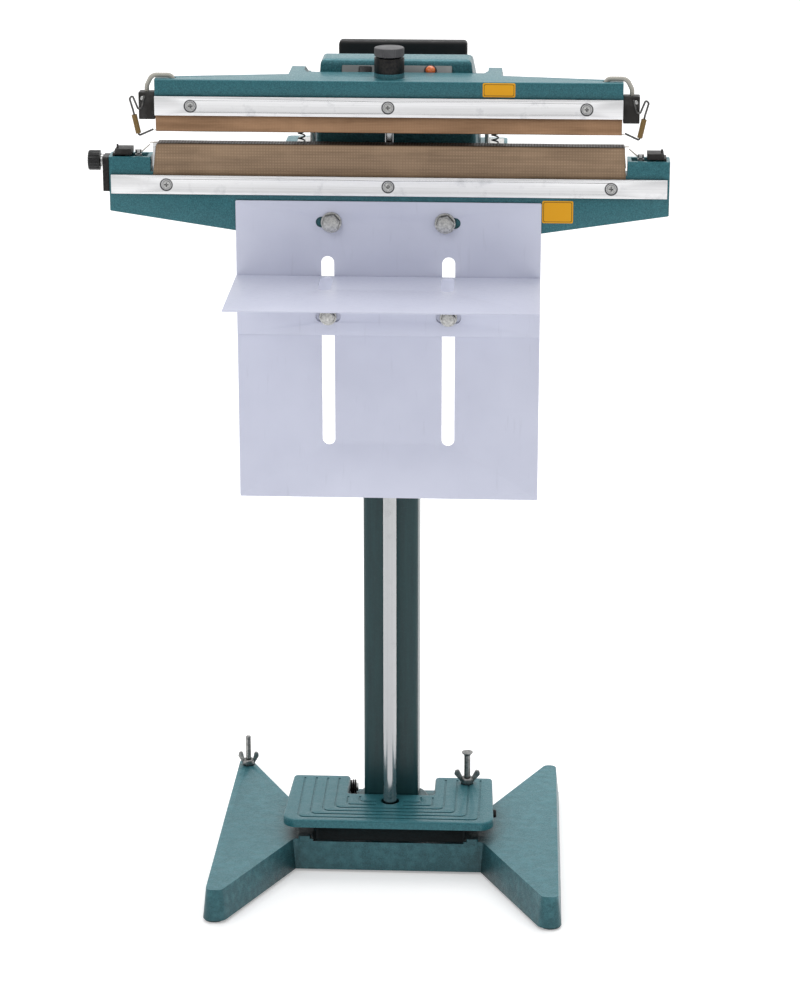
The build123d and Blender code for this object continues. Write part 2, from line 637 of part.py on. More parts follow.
with BuildPart() as timer_potentiometer:
    with Locations(Location((-RECESS_TO + 0.5, TIMER_Y, TIMER_Z), (0, 90, 0))):
        Cylinder(radius=7.6, height=11, align=(Align.CENTER, Align.CENTER, Align.MIN))
    with Locations(Location((-RECESS_TO + 1, TIMER_Y, TIMER_Z), (0, -90, 0))):
        Cylinder(radius=3.5, height=16.5, align=(Align.CENTER, Align.CENTER, Align.MIN))
        Cylinder(radius=2.95, height=24, align=(Align.CENTER, Align.CENTER, Align.MIN))
finish(timer_potentiometer, "timer_potentiometer")

with BuildPart() as timer_nut:
    with BuildSketch(across(0, x=PLATE_X - NUT_T - 0.05)):
        with Locations((TIMER_Y, TIMER_Z)):
            RegularPolygon(6.4, 18)
            Circle(3.55, mode=Mode.SUBTRACT)
    extrude(amount=NUT_T)
finish(timer_nut, "timer_nut")

TIMER_KNOB_R = 10.3
TIMER_KNOB_DEPTH = 12.1

with BuildPart() as timer_knob:
    with BuildSketch(across(0, x=-312.0)):
        with Locations((TIMER_Y, TIMER_Z)):
            Circle(TIMER_KNOB_R)
            with PolarLocations(TIMER_KNOB_R + 0.1, 20):
                Circle(0.75, mode=Mode.SUBTRACT)
    extrude(amount=TIMER_KNOB_DEPTH)
    chamfer(faces().sort_by(Axis.X)[0].edges(), length=1.0)
    with Locations(Location((-310, TIMER_Y, TIMER_Z), (0, 90, 0))):
        Cylinder(radius=3.0, height=40, align=(Align.CENTER, Align.CENTER, Align.MIN),
                 mode=Mode.SUBTRACT)
finish(timer_knob, "timer_knob")

# ================================================================ upper jaw
UPPER_SCREW_X = (-203.0, 0, 203.0)
UPPER_SCREW_Z = UPPER_STRIP_TOP - STRIP_H / 2
UPPER_BAR_TOP = 838.4
JAW_CLOSE = 4.16          # degrees the upper jaw turns to close; its face is level then
ARM_OUTER_X = ARM_X + ARM_W / 2
ARM_INNER_X = ARM_X - ARM_W / 2
LEAD_X = 222.0             # where each lead comes out of the casting

with BuildPart() as upper_casting:
    # front beam
    with BuildSketch(facing_front(-58)):
        with Locations((0, (UPPER_BAR_TOP + 0.1 + UPPER_TOP) / 2)):
            Rectangle(2 * UPPER_HALF, UPPER_TOP - UPPER_BAR_TOP - 0.1)
    extrude(amount=-58 - FRONT_Y)
    # top web, deepening towards the arms
    with BuildSketch(level(UPPER_TOP - 9)):
        with BuildLine():
            Polyline((-UPPER_HALF, -60), (-UPPER_HALF, -57.5), (-ARM_OUTER_X + BOX_X, -37),
                     (-ARM_OUTER_X + BOX_X, -10), (-ARM_INNER_X + BOX_X, -10),
                     (-ARM_INNER_X + BOX_X + 4, -23), (ARM_INNER_X + BOX_X - 4, -23),
                     (ARM_INNER_X + BOX_X, -10), (ARM_OUTER_X + BOX_X, -10),
                     (ARM_OUTER_X + BOX_X, -37), (UPPER_HALF, -57.5), (UPPER_HALF, -60),
                     (-UPPER_HALF, -60))
        make_face()
    extrude(amount=9)
    # arms back to the pivots, with a tail behind each
    for side, _ in SIDES:
        with BuildSketch(across(0, x=BOX_X + side * ARM_X - ARM_W / 2)):
            with BuildLine():
                Polyline((-58, UPPER_TOP), (10, UPPER_TOP), (70, 857.5), (90, 853), (90, 838),
                         (66, 835), (8, 855), (-58, 850), (-58, UPPER_TOP))
            make_face()
            with Locations((JAW_PIVOT_Y, JAW_PIVOT_Z)):
                Circle(13)
        extrude(amount=ARM_W)
    # knob seat and its supporting block
    with BuildSketch(level(848)):
        with Locations((0, -42)):
            Rectangle(46, 36)
    extrude(amount=UPPER_TOP - 849)
    with Locations((0, ROD_Y, UPPER_TOP - 1)):
        Cylinder(radius=KNOB_R, height=CUP_BOTTOM - UPPER_TOP + 1,
                 align=(Align.CENTER, Align.CENTER, Align.MIN))
    fillet(edges().filter_by(Axis.X).group_by(Axis.Y)[0].group_by(Axis.Z)[-1], radius=1.5)
    with Locations((0, ROD_Y, UPPER_TOP)):
        Cylinder(radius=8.5, height=120, mode=Mode.SUBTRACT)
    for side, _ in SIDES:
        with Locations(Location((BOX_X + side * ARM_X, JAW_PIVOT_Y, JAW_PIVOT_Z), (0, 90, 0))):
            Cylinder(radius=6.05, height=30, mode=Mode.SUBTRACT)
        # the lead comes out of this hole
        with Locations((side * LEAD_X, -64, UPPER_TOP)):
            Cylinder(radius=3.4, height=24, mode=Mode.SUBTRACT)
    for screw_x in UPPER_SCREW_X:
        with Locations(Location((screw_x, FRONT_Y, UPPER_SCREW_Z), (90, 0, 0))):
            Cylinder(radius=2.05, height=24, mode=Mode.SUBTRACT)
finish(upper_casting, "upper_casting")

UPPER_REAR_Y = -59.5
UPPER_DROP = (UPPER_REAR_Y - FRONT_Y) * tan(radians(JAW_CLOSE))

upper_sealing_bar = sealing_bar(
    238, UPPER_REAR_Y, UPPER_BAR_TOP, UPPER_BAR_BOTTOM + 0.8, UPPER_BAR_BOTTOM + 0.8 - UPPER_DROP)
finish(upper_sealing_bar, "upper_sealing_bar")

with BuildPart() as upper_heating_ribbon:
    ribbon_z = UPPER_BAR_BOTTOM + 0.6 - (RIBBON_Y - FRONT_Y) * tan(radians(JAW_CLOSE))
    with Locations(Location((0, RIBBON_Y, ribbon_z), (-JAW_CLOSE, 0, 0))):
        Box(484, 5, 0.3)
finish(upper_heating_ribbon, "upper_heating_ribbon")

upper_ptfe_cloth = wrapped_cloth(
    239.5, UPPER_REAR_Y, UPPER_STRIP_TOP - 15, UPPER_BAR_BOTTOM + 0.4,
    UPPER_BAR_BOTTOM + 0.4 - UPPER_DROP, 834, UPPER_SCREW_X, UPPER_SCREW_Z)
finish(upper_ptfe_cloth, "upper_ptfe_cloth")
upper_clamp_strip = clamp_strip(UPPER_HALF, UPPER_STRIP_TOP, UPPER_SCREW_X)
finish(upper_clamp_strip, "upper_clamp_strip")
upper_strip_screws = strip_screws(UPPER_SCREW_Z, UPPER_SCREW_X)
finish(upper_strip_screws, "upper_strip_screws")


END_X = UPPER_HALF + 0.05
WIRE_Y = -73.2
WIRE_R = 1.0
END_BLOCK_TOP = 861.0
LEAD_LIFT = 877.8

with BuildPart() as upper_end_blocks:
    for side, _ in SIDES:
        with Locations((side * (END_X + 8.6), -65, END_BLOCK_TOP)):
            Box(16.8, 14, 28, align=(Align.CENTER, Align.CENTER, Align.MAX))
finish(upper_end_blocks, "upper_end_blocks")

with BuildPart() as ribbon_tension_springs:
    # bent spring wire from the end block, through the sleeve, to the ribbon's end
    for side, _ in SIDES:
        with BuildLine() as bend:
            FilletPolyline(
                (side * 250.5, WIRE_Y, 858), (side * 254, WIRE_Y, 845), (side * 257.5, WIRE_Y, 844),
                (side * 263, WIRE_Y, 858), (side * 266, WIRE_Y, 854.5), (side * 262.5, WIRE_Y, 842),
                (side * 257.1, WIRE_Y, 816.4), (side * 242.6, WIRE_Y + 4, 822.3), radius=1.4)
        with BuildSketch(Plane(origin=bend.line @ 0, z_dir=bend.line % 0)):
            Circle(WIRE_R)
        sweep(path=bend.line)
finish(ribbon_tension_springs, "ribbon_tension_springs")

with BuildPart() as ribbon_sleeves:
    for side, _ in SIDES:
        with BuildLine() as axis_line:
            Line((side * 261.66, WIRE_Y, 838), (side * 257.62, WIRE_Y, 818.9))
        with BuildSketch(Plane(origin=axis_line.line @ 0, z_dir=axis_line.line % 0)):
            Circle(2.75)
            Circle(WIRE_R + 0.2, mode=Mode.SUBTRACT)
        sweep(path=axis_line.line)
finish(ribbon_sleeves, "ribbon_sleeves")

with BuildPart() as upper_leads:
    # glass-fibre sleeved leads, out of the casting and down to the end blocks
    for side, _ in SIDES:
        with BuildLine() as lead:
            FilletPolyline((side * LEAD_X, -64, 868), (side * LEAD_X, -64, LEAD_LIFT),
                           (side * 243.5, -64, LEAD_LIFT), (side * 249, -64, 867),
                           (side * 249, -64, END_BLOCK_TOP + 0.1), radius=(5, 8, 8))
        with BuildSketch(Plane(origin=lead.line @ 0, z_dir=lead.line % 0)):
            Circle(2.3)
        sweep(path=lead.line)
finish(upper_leads, "upper_leads")

# ================================================================ jaw pivots and springs
BRACKET_X = 93.5
BRACKET_T = 4.0

with BuildPart() as pivot_brackets:
    for side, _ in SIDES:
        with BuildSketch(across(0, x=BOX_X + side * BRACKET_X - BRACKET_T / 2)):
            with BuildLine():
                Polyline((54, PLATFORM_TOP), (106, PLATFORM_TOP), (90, JAW_PIVOT_Z + 6),
                         (66, JAW_PIVOT_Z + 6), (54, PLATFORM_TOP))
            make_face()
            with Locations((JAW_PIVOT_Y, JAW_PIVOT_Z)):
                Circle(12)
            with Locations((JAW_PIVOT_Y, JAW_PIVOT_Z)):
                Circle(6.05, mode=Mode.SUBTRACT)
        extrude(amount=BRACKET_T)
        with Locations((BOX_X + side * (BRACKET_X + 8), 80, PLATFORM_TOP)):
            Box(20, 52, 3, align=(Align.CENTER, Align.CENTER, Align.MIN))
finish(pivot_brackets, "pivot_brackets")

with BuildPart() as jaw_pivot_pins:
    for side, _ in SIDES:
        with Locations(Location((BOX_X + side * 91.6, JAW_PIVOT_Y, JAW_PIVOT_Z), (0, side * 90, 0))):
            Cylinder(radius=6, height=20, align=(Align.CENTER, Align.CENTER, Align.MIN))
        with Locations(Location((BOX_X + side * 110.5, JAW_PIVOT_Y, JAW_PIVOT_Z), (0, side * 90, 0))):
            Cylinder(radius=9, height=4, align=(Align.CENTER, Align.CENTER, Align.MIN))
finish(jaw_pivot_pins, "jaw_pivot_pins")

LIFT_Y = 34.0

with BuildPart() as jaw_lift_springs:
    for side, _ in SIDES:
        with BuildLine() as coil:
            Helix(pitch=5.5, height=64, radius=3.4, center=(BOX_X + side * ARM_X, LIFT_Y, PLATFORM_TOP + 1))
        with BuildSketch(Plane(origin=coil.line @ 0, z_dir=coil.line % 0)):
            Circle(0.9)
        sweep(path=coil.line, is_frenet=True)
finish(jaw_lift_springs, "jaw_lift_springs")

# ================================================================ control box
BOX_BASE_T = 1.8
COVER_BOTTOM = PLATFORM_TOP + BOX_BASE_T
COVER_TAPER = 4.0
SLOPE_FROM_Y = 25.0
SLOPE = 0.42               # fall of the cover's rear slope per millimetre


def cover_front_y(z):
    """The cover's front face leans back: its Y at height z."""
    return BOX_FRONT_Y + (z - COVER_BOTTOM) * tan(radians(COVER_TAPER))


def cover_body(inset):
    """The cover's outer shape, drawn in by inset on every side and the top."""
    with BuildPart() as body:
        with BuildSketch(level(COVER_BOTTOM, x=BOX_X, y=(BOX_FRONT_Y + BOX_REAR_Y) / 2)):
            RectangleRounded(2 * (BOX_HALF - inset), BOX_REAR_Y - BOX_FRONT_Y - 2 * inset, 9 - inset)
        extrude(amount=BOX_TOP - inset - COVER_BOTTOM, taper=COVER_TAPER)
        with BuildSketch(across(0, x=-200)):
            with BuildLine():
                Polyline((SLOPE_FROM_Y - inset, BOX_TOP - inset + 0.01), (SLOPE_FROM_Y - inset, 930),
                         (160, 930), (160, BOX_TOP - inset - SLOPE * (160 - SLOPE_FROM_Y + inset)),
                         (SLOPE_FROM_Y - inset, BOX_TOP - inset + 0.01))
            make_face()
        extrude(amount=400, mode=Mode.SUBTRACT)
    return body


with BuildPart() as box_cover:
    add(cover_body(0).part)
    fillet(edges().filter_by(Axis.X).group_by(Axis.Z)[-1], radius=6)
    add(cover_body(SHEET).part, mode=Mode.SUBTRACT)
    with BuildSketch(facing_front(BOX_REAR_Y + 5, x=45, z=800)):
        Circle(7.1)
    extrude(amount=20, mode=Mode.SUBTRACT)
finish(box_cover, "box_cover")

with BuildPart() as box_base:
    with BuildSketch(level(PLATFORM_TOP, x=BOX_X, y=(BOX_FRONT_Y + BOX_REAR_Y) / 2)):
        RectangleRounded(2 * BOX_HALF, BOX_REAR_Y - BOX_FRONT_Y, 9)
    extrude(amount=BOX_BASE_T - 0.02)
finish(box_base, "box_base")

PANEL_X = 6.0
PANEL_HALF = 57.5
PANEL_TOP_Z = 880.5
PANEL_EDGE_Z = 869.0
PANEL_BOTTOM_Z = 852.0
PANEL_FRONT_Y = -20.5
PANEL_TOP_Y = cover_front_y(PANEL_TOP_Z) - 0.15
SWITCH_X = -27.0
LAMP_X = 41.0
PANEL_MID = ((PANEL_TOP_Y + PANEL_FRONT_Y) / 2, (PANEL_TOP_Z + PANEL_EDGE_Z) / 2)


def on_panel(x, lift=0.0):
    """A plane on the control panel's sloping face, facing out of it."""
    out = (PANEL_EDGE_Z - PANEL_TOP_Z, PANEL_TOP_Y - PANEL_FRONT_Y)
    length = (out[0] ** 2 + out[1] ** 2) ** 0.5
    normal = (0, out[0] / length, out[1] / length)
    origin = (x, PANEL_MID[0] + lift * normal[1], PANEL_MID[1] + lift * normal[2])
    return Plane(origin=origin, x_dir=(1, 0, 0), z_dir=normal)


with BuildPart() as control_panel:
    with BuildSketch(across(0, x=PANEL_X - PANEL_HALF)):
        with BuildLine():
            Polyline((PANEL_TOP_Y, PANEL_TOP_Z), (PANEL_FRONT_Y, PANEL_EDGE_Z),
                     (PANEL_FRONT_Y, PANEL_BOTTOM_Z),
                     (cover_front_y(PANEL_BOTTOM_Z) - 0.15, PANEL_BOTTOM_Z),
                     (PANEL_TOP_Y, PANEL_TOP_Z))
        make_face()
    extrude(amount=2 * PANEL_HALF)
    with BuildSketch(on_panel(SWITCH_X, 1)):
        Rectangle(13.4, 9.6)
    extrude(amount=-4.4, mode=Mode.SUBTRACT)
finish(control_panel, "control_panel")

with BuildPart() as switch_rocker:
    with BuildSketch(Plane(origin=on_panel(SWITCH_X - 6).origin, x_dir=(0, on_panel(0).y_dir.Y,
                           on_panel(0).y_dir.Z), z_dir=(1, 0, 0))):
        with BuildLine():
            Polyline((-3.9, -0.4), (-3.9, 1.6), (0, 2.2), (3.9, 3.4), (3.9, -0.4), (-3.9, -0.4))
        make_face()
    extrude(amount=12)
finish(switch_rocker, "switch_rocker")

with BuildPart() as lamp_bezel:
    with BuildSketch(on_panel(LAMP_X, 0.02)):
        Circle(6.8)
        Circle(5.3, mode=Mode.SUBTRACT)
    extrude(amount=2.4)
finish(lamp_bezel, "lamp_bezel")

with BuildPart() as lamp_lens:
    with BuildSketch(on_panel(LAMP_X, 0.04)):
        Circle(5.2)
    extrude(amount=6.5)
    fillet(edges().filter_by(GeomType.CIRCLE).sort_by(Axis.Z)[-1], radius=4.4)
finish(lamp_lens, "lamp_lens")

HANDLE_X = 7.0
HANDLE_HALF = 69.0
HANDLE_TOP = 887.0
HANDLE_Y = 105.0
HANDLE_DEPTH = 18.0

with BuildPart() as carry_handle:
    with BuildSketch(facing_front(HANDLE_Y + HANDLE_DEPTH / 2)):
        with Locations((HANDLE_X, (HANDLE_TOP + 815) / 2)):
            RectangleRounded(2 * HANDLE_HALF, HANDLE_TOP - 815, 4)
        with Locations((HANDLE_X, HANDLE_TOP - 16 - 35)):
            RectangleRounded(2 * HANDLE_HALF - 34, 70, 6, mode=Mode.SUBTRACT)
    extrude(amount=HANDLE_DEPTH)
    fillet(edges().filter_by(Axis.X), radius=3)
    with BuildSketch(across(0, x=-200)):
        with BuildLine():
            Polyline((SLOPE_FROM_Y, BOX_TOP + 0.2), (160, BOX_TOP + 0.2 - SLOPE * (160 - SLOPE_FROM_Y)),
                     (160, 780), (SLOPE_FROM_Y, 780), (SLOPE_FROM_Y, BOX_TOP + 0.2))
        make_face()
    extrude(amount=400, mode=Mode.SUBTRACT)
finish(carry_handle, "carry_handle")

TRANSFORMER_X = -18.0
TRANSFORMER_Y = 46.0

with BuildPart() as transformer_core:
    with BuildSketch(facing_front(TRANSFORMER_Y + 20)):
        with Locations((TRANSFORMER_X, COVER_BOTTOM + 31)):
            Rectangle(74, 62)
            for side, _ in SIDES:
                with Locations((side * 18.5, 0)):
                    Rectangle(12, 38, mode=Mode.SUBTRACT)
    extrude(amount=40)
finish(transformer_core, "transformer_core")

with BuildPart() as transformer_coil:
    with BuildSketch(level(COVER_BOTTOM + 13)):
        with Locations((TRANSFORMER_X, TRANSFORMER_Y)):
            RectangleRounded(48, 64, 6)
            Rectangle(25.4, 40.4, mode=Mode.SUBTRACT)
    extrude(amount=36)
finish(transformer_coil, "transformer_coil")

with BuildPart() as timer_board:
    with Locations((60, 50, COVER_BOTTOM + 0.2)):
        Box(1.6, 70, 48, align=(Align.CENTER, Align.CENTER, Align.MIN))
    for part_y, part_z, width, height in ((30, 22, 14, 12), (52, 18, 18, 20), (72, 30, 10, 14)):
        with Locations((54, part_y, COVER_BOTTOM + part_z)):
            Box(12, width, height)
finish(timer_board, "timer_board")

with BuildPart() as mains_inlet:
    with Locations(Location((45, 127.4, 800), (-90, 0, 0))):
        Cylinder(radius=7, height=10, align=(Align.CENTER, Align.CENTER, Align.MAX))
        Cylinder(radius=10, height=4, align=(Align.CENTER, Align.CENTER, Align.MIN))
    with Locations(Location((45, 131.4, 800), (-90, 0, 0))):
        Cone(bottom_radius=9, top_radius=6.5, height=9, align=(Align.CENTER, Align.CENTER, Align.MIN))
    with Locations(Location((45, 140.4, 800), (-90, 0, 0))):
        Cylinder(radius=3.6, height=25, align=(Align.CENTER, Align.CENTER, Align.MAX),
                 mode=Mode.SUBTRACT)
finish(mains_inlet, "mains_inlet")

# ================================================================ bag tray
with BuildPart() as tray_plate:
    with BuildSketch(facing_front(FRONT_Y - 0.05)):
        with Locations((0, (TRAY_TOP + TRAY_BOTTOM) / 2)):
            RectangleRounded(2 * TRAY_HALF, TRAY_TOP - TRAY_BOTTOM, 1.5)
        for side, _ in SIDES:
            with Locations((side * 61.8, TRAY_BOLT_Z)):
                SlotOverall(26.5, 11.5, mode=Mode.SUBTRACT)
            with Locations((side * SLOT_X, (692 + 487) / 2)):
                SlotOverall(692 - 487, SLOT_W, rotation=90, mode=Mode.SUBTRACT)
    extrude(amount=TRAY_T)
finish(tray_plate, "tray_plate")

TRAY_FACE_Y = FRONT_Y - 0.05 - TRAY_T


def hex_bolts(xs, z, face_y, shank_r, shank, flats, head):
    """Hexagon bolts with their heads to the front, seated on a face at face_y."""
    with BuildPart() as bolts:
        for bolt_x in xs:
            with Locations(Location((bolt_x, face_y, z), (90, 0, 0))):
                Cylinder(radius=shank_r, height=shank, align=(Align.CENTER, Align.CENTER, Align.MAX))
            with BuildSketch(facing_front(face_y, x=bolt_x, z=z)):
                RegularPolygon(flats / 2, 6, major_radius=False, rotation=12)
            extrude(amount=head)
            with BuildSketch(facing_front(face_y - head, x=bolt_x, z=z)):
                Circle(flats / 2 - 0.6)
            extrude(amount=0.4)
    return bolts


def washers(xs, z, face_y, outer, inner, thickness):
    """Flat washers seated on a face at face_y."""
    with BuildPart() as rings:
        for ring_x in xs:
            with BuildSketch(facing_front(face_y, x=ring_x, z=z)):
                Circle(outer)
                Circle(inner, mode=Mode.SUBTRACT)
            extrude(amount=thickness)
    return rings


TRAY_BOLT_XS = (-TRAY_BOLT_X, TRAY_BOLT_X)
SHELF_BOLT_XS = (-SLOT_X, SLOT_X)
SHELF_BOLT_Z = 627.5

tray_washers = washers(TRAY_BOLT_XS, TRAY_BOLT_Z, TRAY_FACE_Y, 10.8, 5.25, 1.8)
finish(tray_washers, "tray_washers")
tray_bolts = hex_bolts(TRAY_BOLT_XS, TRAY_BOLT_Z, TRAY_FACE_Y - 1.8, 5, 24, 16, 6.2)
finish(tray_bolts, "tray_bolts")

LEG_BACK_Y = TRAY_FACE_Y - GAP
LEG_FACE_Y = LEG_BACK_Y - SHELF_T

with BuildPart() as tray_shelf:
    # angle: a shelf towards the front and a leg down against the tray plate
    with BuildSketch(across(0, x=-TRAY_HALF)):
        with BuildLine():
            FilletPolyline((LEG_BACK_Y, SHELF_LEG_BOTTOM), (LEG_BACK_Y, SHELF_Z),
                           (LEG_BACK_Y - SHELF_DEPTH, SHELF_Z), radius=3)
            offset(amount=SHELF_T, side=Side.LEFT)
        make_face()
    extrude(amount=2 * TRAY_HALF)
    for side, _ in SIDES:
        with BuildSketch(level(SHELF_Z + 5)):
            with Locations((side * SLOT_X, -112)):
                SlotOverall(57, SLOT_W, rotation=90)
        extrude(amount=-12, mode=Mode.SUBTRACT)
        with BuildSketch(facing_front(LEG_BACK_Y + 2, z=SHELF_BOLT_Z)):
            with Locations((side * SLOT_X, 0)):
                SlotOverall(26, 11.5)
        extrude(amount=6, mode=Mode.SUBTRACT)
finish(tray_shelf, "tray_shelf")

shelf_washers = washers(SHELF_BOLT_XS, SHELF_BOLT_Z, LEG_FACE_Y, 9.0, 4.2, 1.6)
finish(shelf_washers, "shelf_washers")
shelf_bolts = hex_bolts(SHELF_BOLT_XS, SHELF_BOLT_Z, LEG_FACE_Y - 1.6, 4, 17, 13, 5.3)
finish(shelf_bolts, "shelf_bolts")

with BuildPart() as shelf_nuts:
    for nut_x in SHELF_BOLT_XS:
        with BuildSketch(facing_front(FRONT_Y + 8.5, x=nut_x, z=SHELF_BOLT_Z)):
            RegularPolygon(6.5, 6, major_radius=False)
            Circle(4.05, mode=Mode.SUBTRACT)
        extrude(amount=6.4)
        with BuildSketch(facing_front(FRONT_Y + 2.0, x=nut_x, z=SHELF_BOLT_Z)):
            Circle(10)
            Circle(4.05, mode=Mode.SUBTRACT)
        extrude(amount=1.6)
finish(shelf_nuts, "shelf_nuts")
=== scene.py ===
"""Foot-pedal impulse heat sealer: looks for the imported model, in metres, in its own frame."""

import math

import bmesh
import bpy
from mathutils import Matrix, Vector


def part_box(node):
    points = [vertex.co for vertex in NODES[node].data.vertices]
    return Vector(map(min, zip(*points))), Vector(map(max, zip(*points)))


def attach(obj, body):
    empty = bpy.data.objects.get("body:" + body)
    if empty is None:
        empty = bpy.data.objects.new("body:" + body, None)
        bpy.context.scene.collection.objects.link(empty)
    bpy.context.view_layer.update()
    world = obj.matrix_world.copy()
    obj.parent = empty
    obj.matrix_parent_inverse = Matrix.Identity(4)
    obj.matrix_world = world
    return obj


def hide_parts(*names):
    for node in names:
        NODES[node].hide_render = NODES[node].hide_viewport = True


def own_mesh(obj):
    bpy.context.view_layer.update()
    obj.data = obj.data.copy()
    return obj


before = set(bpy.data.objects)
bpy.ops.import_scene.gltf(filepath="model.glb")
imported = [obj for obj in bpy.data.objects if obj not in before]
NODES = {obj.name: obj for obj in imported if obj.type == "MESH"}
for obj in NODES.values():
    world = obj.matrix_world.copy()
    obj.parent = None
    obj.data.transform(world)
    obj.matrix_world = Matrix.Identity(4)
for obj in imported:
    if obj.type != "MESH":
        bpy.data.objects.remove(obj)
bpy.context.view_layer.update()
SCENE = bpy.context.scene
WAVE_SCALE = 0.314         # a wave texture of scale 1 repeats every 0.314 m


# ---------------------------------------------------------------- node helpers
class Graph:
    """A material's node tree, with short calls to add and join nodes."""

    def __init__(self, name):
        self.material = bpy.data.materials.new(name)
        self.material.use_nodes = True
        self.tree = self.material.node_tree
        self.shader = self.tree.nodes["Principled BSDF"]
        self.place = self.tree.nodes.new("ShaderNodeTexCoord").outputs["Object"]

    def set(self, **values):
        for key, value in values.items():
            self.shader.inputs[key.replace("_", " ")].default_value = value

    def node(self, kind, inputs=None, **settings):
        made = self.tree.nodes.new(kind)
        for key, value in settings.items():
            setattr(made, key, value)
        for key, value in (inputs or {}).items():
            if isinstance(value, bpy.types.NodeSocket):
                self.tree.links.new(value, made.inputs[key])
            else:
                made.inputs[key].default_value = value
        return made

    def stretched(self, scale, turn=(0, 0, 0)):
        mapping = self.node("ShaderNodeMapping", {"Vector": self.place, "Scale": scale, "Rotation": turn})
        return mapping.outputs["Vector"]

    def noise(self, scale, detail=3.0, rough=0.55, vector=None, distortion=0.0):
        made = self.node("ShaderNodeTexNoise", {
            "Vector": vector or self.place, "Scale": scale, "Detail": detail, "Roughness": rough,
            "Distortion": distortion})
        return made.outputs["Fac"]

    def cells(self, scale, smooth=0.7, vector=None):
        made = self.node("ShaderNodeTexVoronoi", {
            "Vector": vector or self.place, "Scale": scale, "Smoothness": smooth}, feature="SMOOTH_F1")
        return made.outputs["Distance"]

    def bands(self, pitch, direction="X", vector=None):
        """Soft bands across a direction, one pitch apart in metres."""
        made = self.node("ShaderNodeTexWave", {
            "Vector": vector or self.place, "Scale": WAVE_SCALE / pitch},
            wave_type="BANDS", bands_direction=direction)
        return made.outputs["Fac"]

    def ramp(self, factor, stops):
        made = self.node("ShaderNodeValToRGB", {"Fac": factor})
        made.color_ramp.interpolation = "EASE"
        elements = made.color_ramp.elements
        while len(elements) < len(stops):
            elements.new(0.5)
        for element, (position, colour) in zip(elements, stops):
            element.position = position
            element.color = (*colour, 1) if len(colour) == 3 else colour
        return made.outputs["Color"]

    def level(self, factor, low, high, out_low=0.0, out_high=1.0):
        made = self.node("ShaderNodeMapRange", {
            "Value": factor, "From Min": low, "From Max": high, "To Min": out_low, "To Max": out_high})
        return made.outputs["Result"]

    def math(self, operation, a, b=0.0):
        made = self.node("ShaderNodeMath", {0: a, 1: b}, operation=operation)
        return made.outputs["Value"]

    def mix(self, factor, a, b, blend="MIX"):
        made = self.node("ShaderNodeMix", data_type="RGBA", blend_type=blend)
        for index, value in ((0, factor), (6, a), (7, b)):
            if isinstance(value, bpy.types.NodeSocket):
                self.tree.links.new(value, made.inputs[index])
            elif isinstance(value, tuple):
                made.inputs[index].default_value = (*value, 1) if len(value) == 3 else value
            else:
                made.inputs[index].default_value = value
        return made.outputs[2]

    def axis(self, name, vector=None):
        return self.node("ShaderNodeSeparateXYZ", {"Vector": vector or self.place}).outputs[name]

    def edges(self, low=0.52, high=0.62):
        """1 along convex edges, from the mesh's own shape."""
        point = self.node("ShaderNodeNewGeometry").outputs["Pointiness"]
        return self.level(point, low, high)

    def crevice(self, reach):
        """1 in the open, falling to 0 in corners and recesses narrower than reach; the materials paint
        shade there with it.
        """
        return self.node("ShaderNodeAmbientOcclusion", {"Distance": reach}, samples=4).outputs["AO"]

    # mask for the painted highlight that makes upward faces paler, as if lit from above
    def facing_up(self, low=0.2, high=0.9):
        normal = self.node("ShaderNodeNewGeometry").outputs["Normal"]
        return self.level(self.axis("Z", normal), low, high)

    def colour(self, socket):
        self.tree.links.new(socket, self.shader.inputs["Base Color"])

    def rough(self, socket):
        self.tree.links.new(socket, self.shader.inputs["Roughness"])

    def bump(self, *layers):
        """layers are (height socket, depth in metres); each adds to the one before."""
        normal = None
        for height, depth in layers:
            made = self.node("ShaderNodeBump", {"Height": height, "Distance": depth, "Strength": 1.0})
            if normal is not None:
                self.tree.links.new(normal, made.inputs["Normal"])
            normal = made.outputs["Normal"]
        self.tree.links.new(normal, self.shader.inputs["Normal"])


# ---------------------------------------------------------------- materials
def hammertone(name, deep, light, scale=780.0, depth=0.00022, shade=0.0):
    """Hammered enamel over cast or pressed metal: dimpled, two-toned and glossy."""
    g = Graph(name)
    dimples = g.cells(scale)
    grain = g.noise(900.0, 2.0)
    broad = g.noise(14.0, 4.0)
    tone = g.ramp(dimples, [(0.12, light), (0.62, deep)])
    tone = g.mix(g.level(grain, 0.35, 0.7, 0.0, 0.35), tone, tuple(min(1, c * 1.7 + 0.01) for c in light))
    tone = g.mix(g.level(broad, 0.35, 0.65, 0.0, 0.12), tone, tuple(c * 0.55 for c in deep))
    # painted highlight: upward faces are painted paler, as if lit from above; the same pale tone also marks
    # real edge wear below
    pale = tuple(min(1, c * 1.5 + 0.03) for c in light)
    tone = g.mix(g.math("MULTIPLY", g.facing_up(0.55, 0.95), 0.38), tone, pale)
    worn = g.math("MULTIPLY", g.edges(0.54, 0.66), g.level(g.noise(120.0, 4.0), 0.45, 0.65))
    tone = g.mix(g.math("MULTIPLY", worn, 0.5), tone, pale)
    # painted shade: small recesses and grooves of the casting are painted darker
    tone = g.mix(g.level(g.crevice(0.006), 0.35, 0.85, 0.55, 0.0), tone, tuple(c * 0.25 for c in deep))
    # painted shadow: big hollows and faces under overhangs, such as the wall under the pedal, are painted
    # darker by this much
    if shade:
        tone = g.mix(g.level(g.crevice(0.16), 0.25, 0.8, shade, 0.0), tone, tuple(c * 0.12 for c in deep))
    g.colour(tone)
    g.rough(g.level(dimples, 0.1, 0.6, 0.30, 0.46))
    g.bump((dimples, depth), (g.noise(60.0, 3.0), 0.0008))
    g.set(Metallic=0.2, Coat_Weight=0.12, Coat_Roughness=0.15)
    return g.material


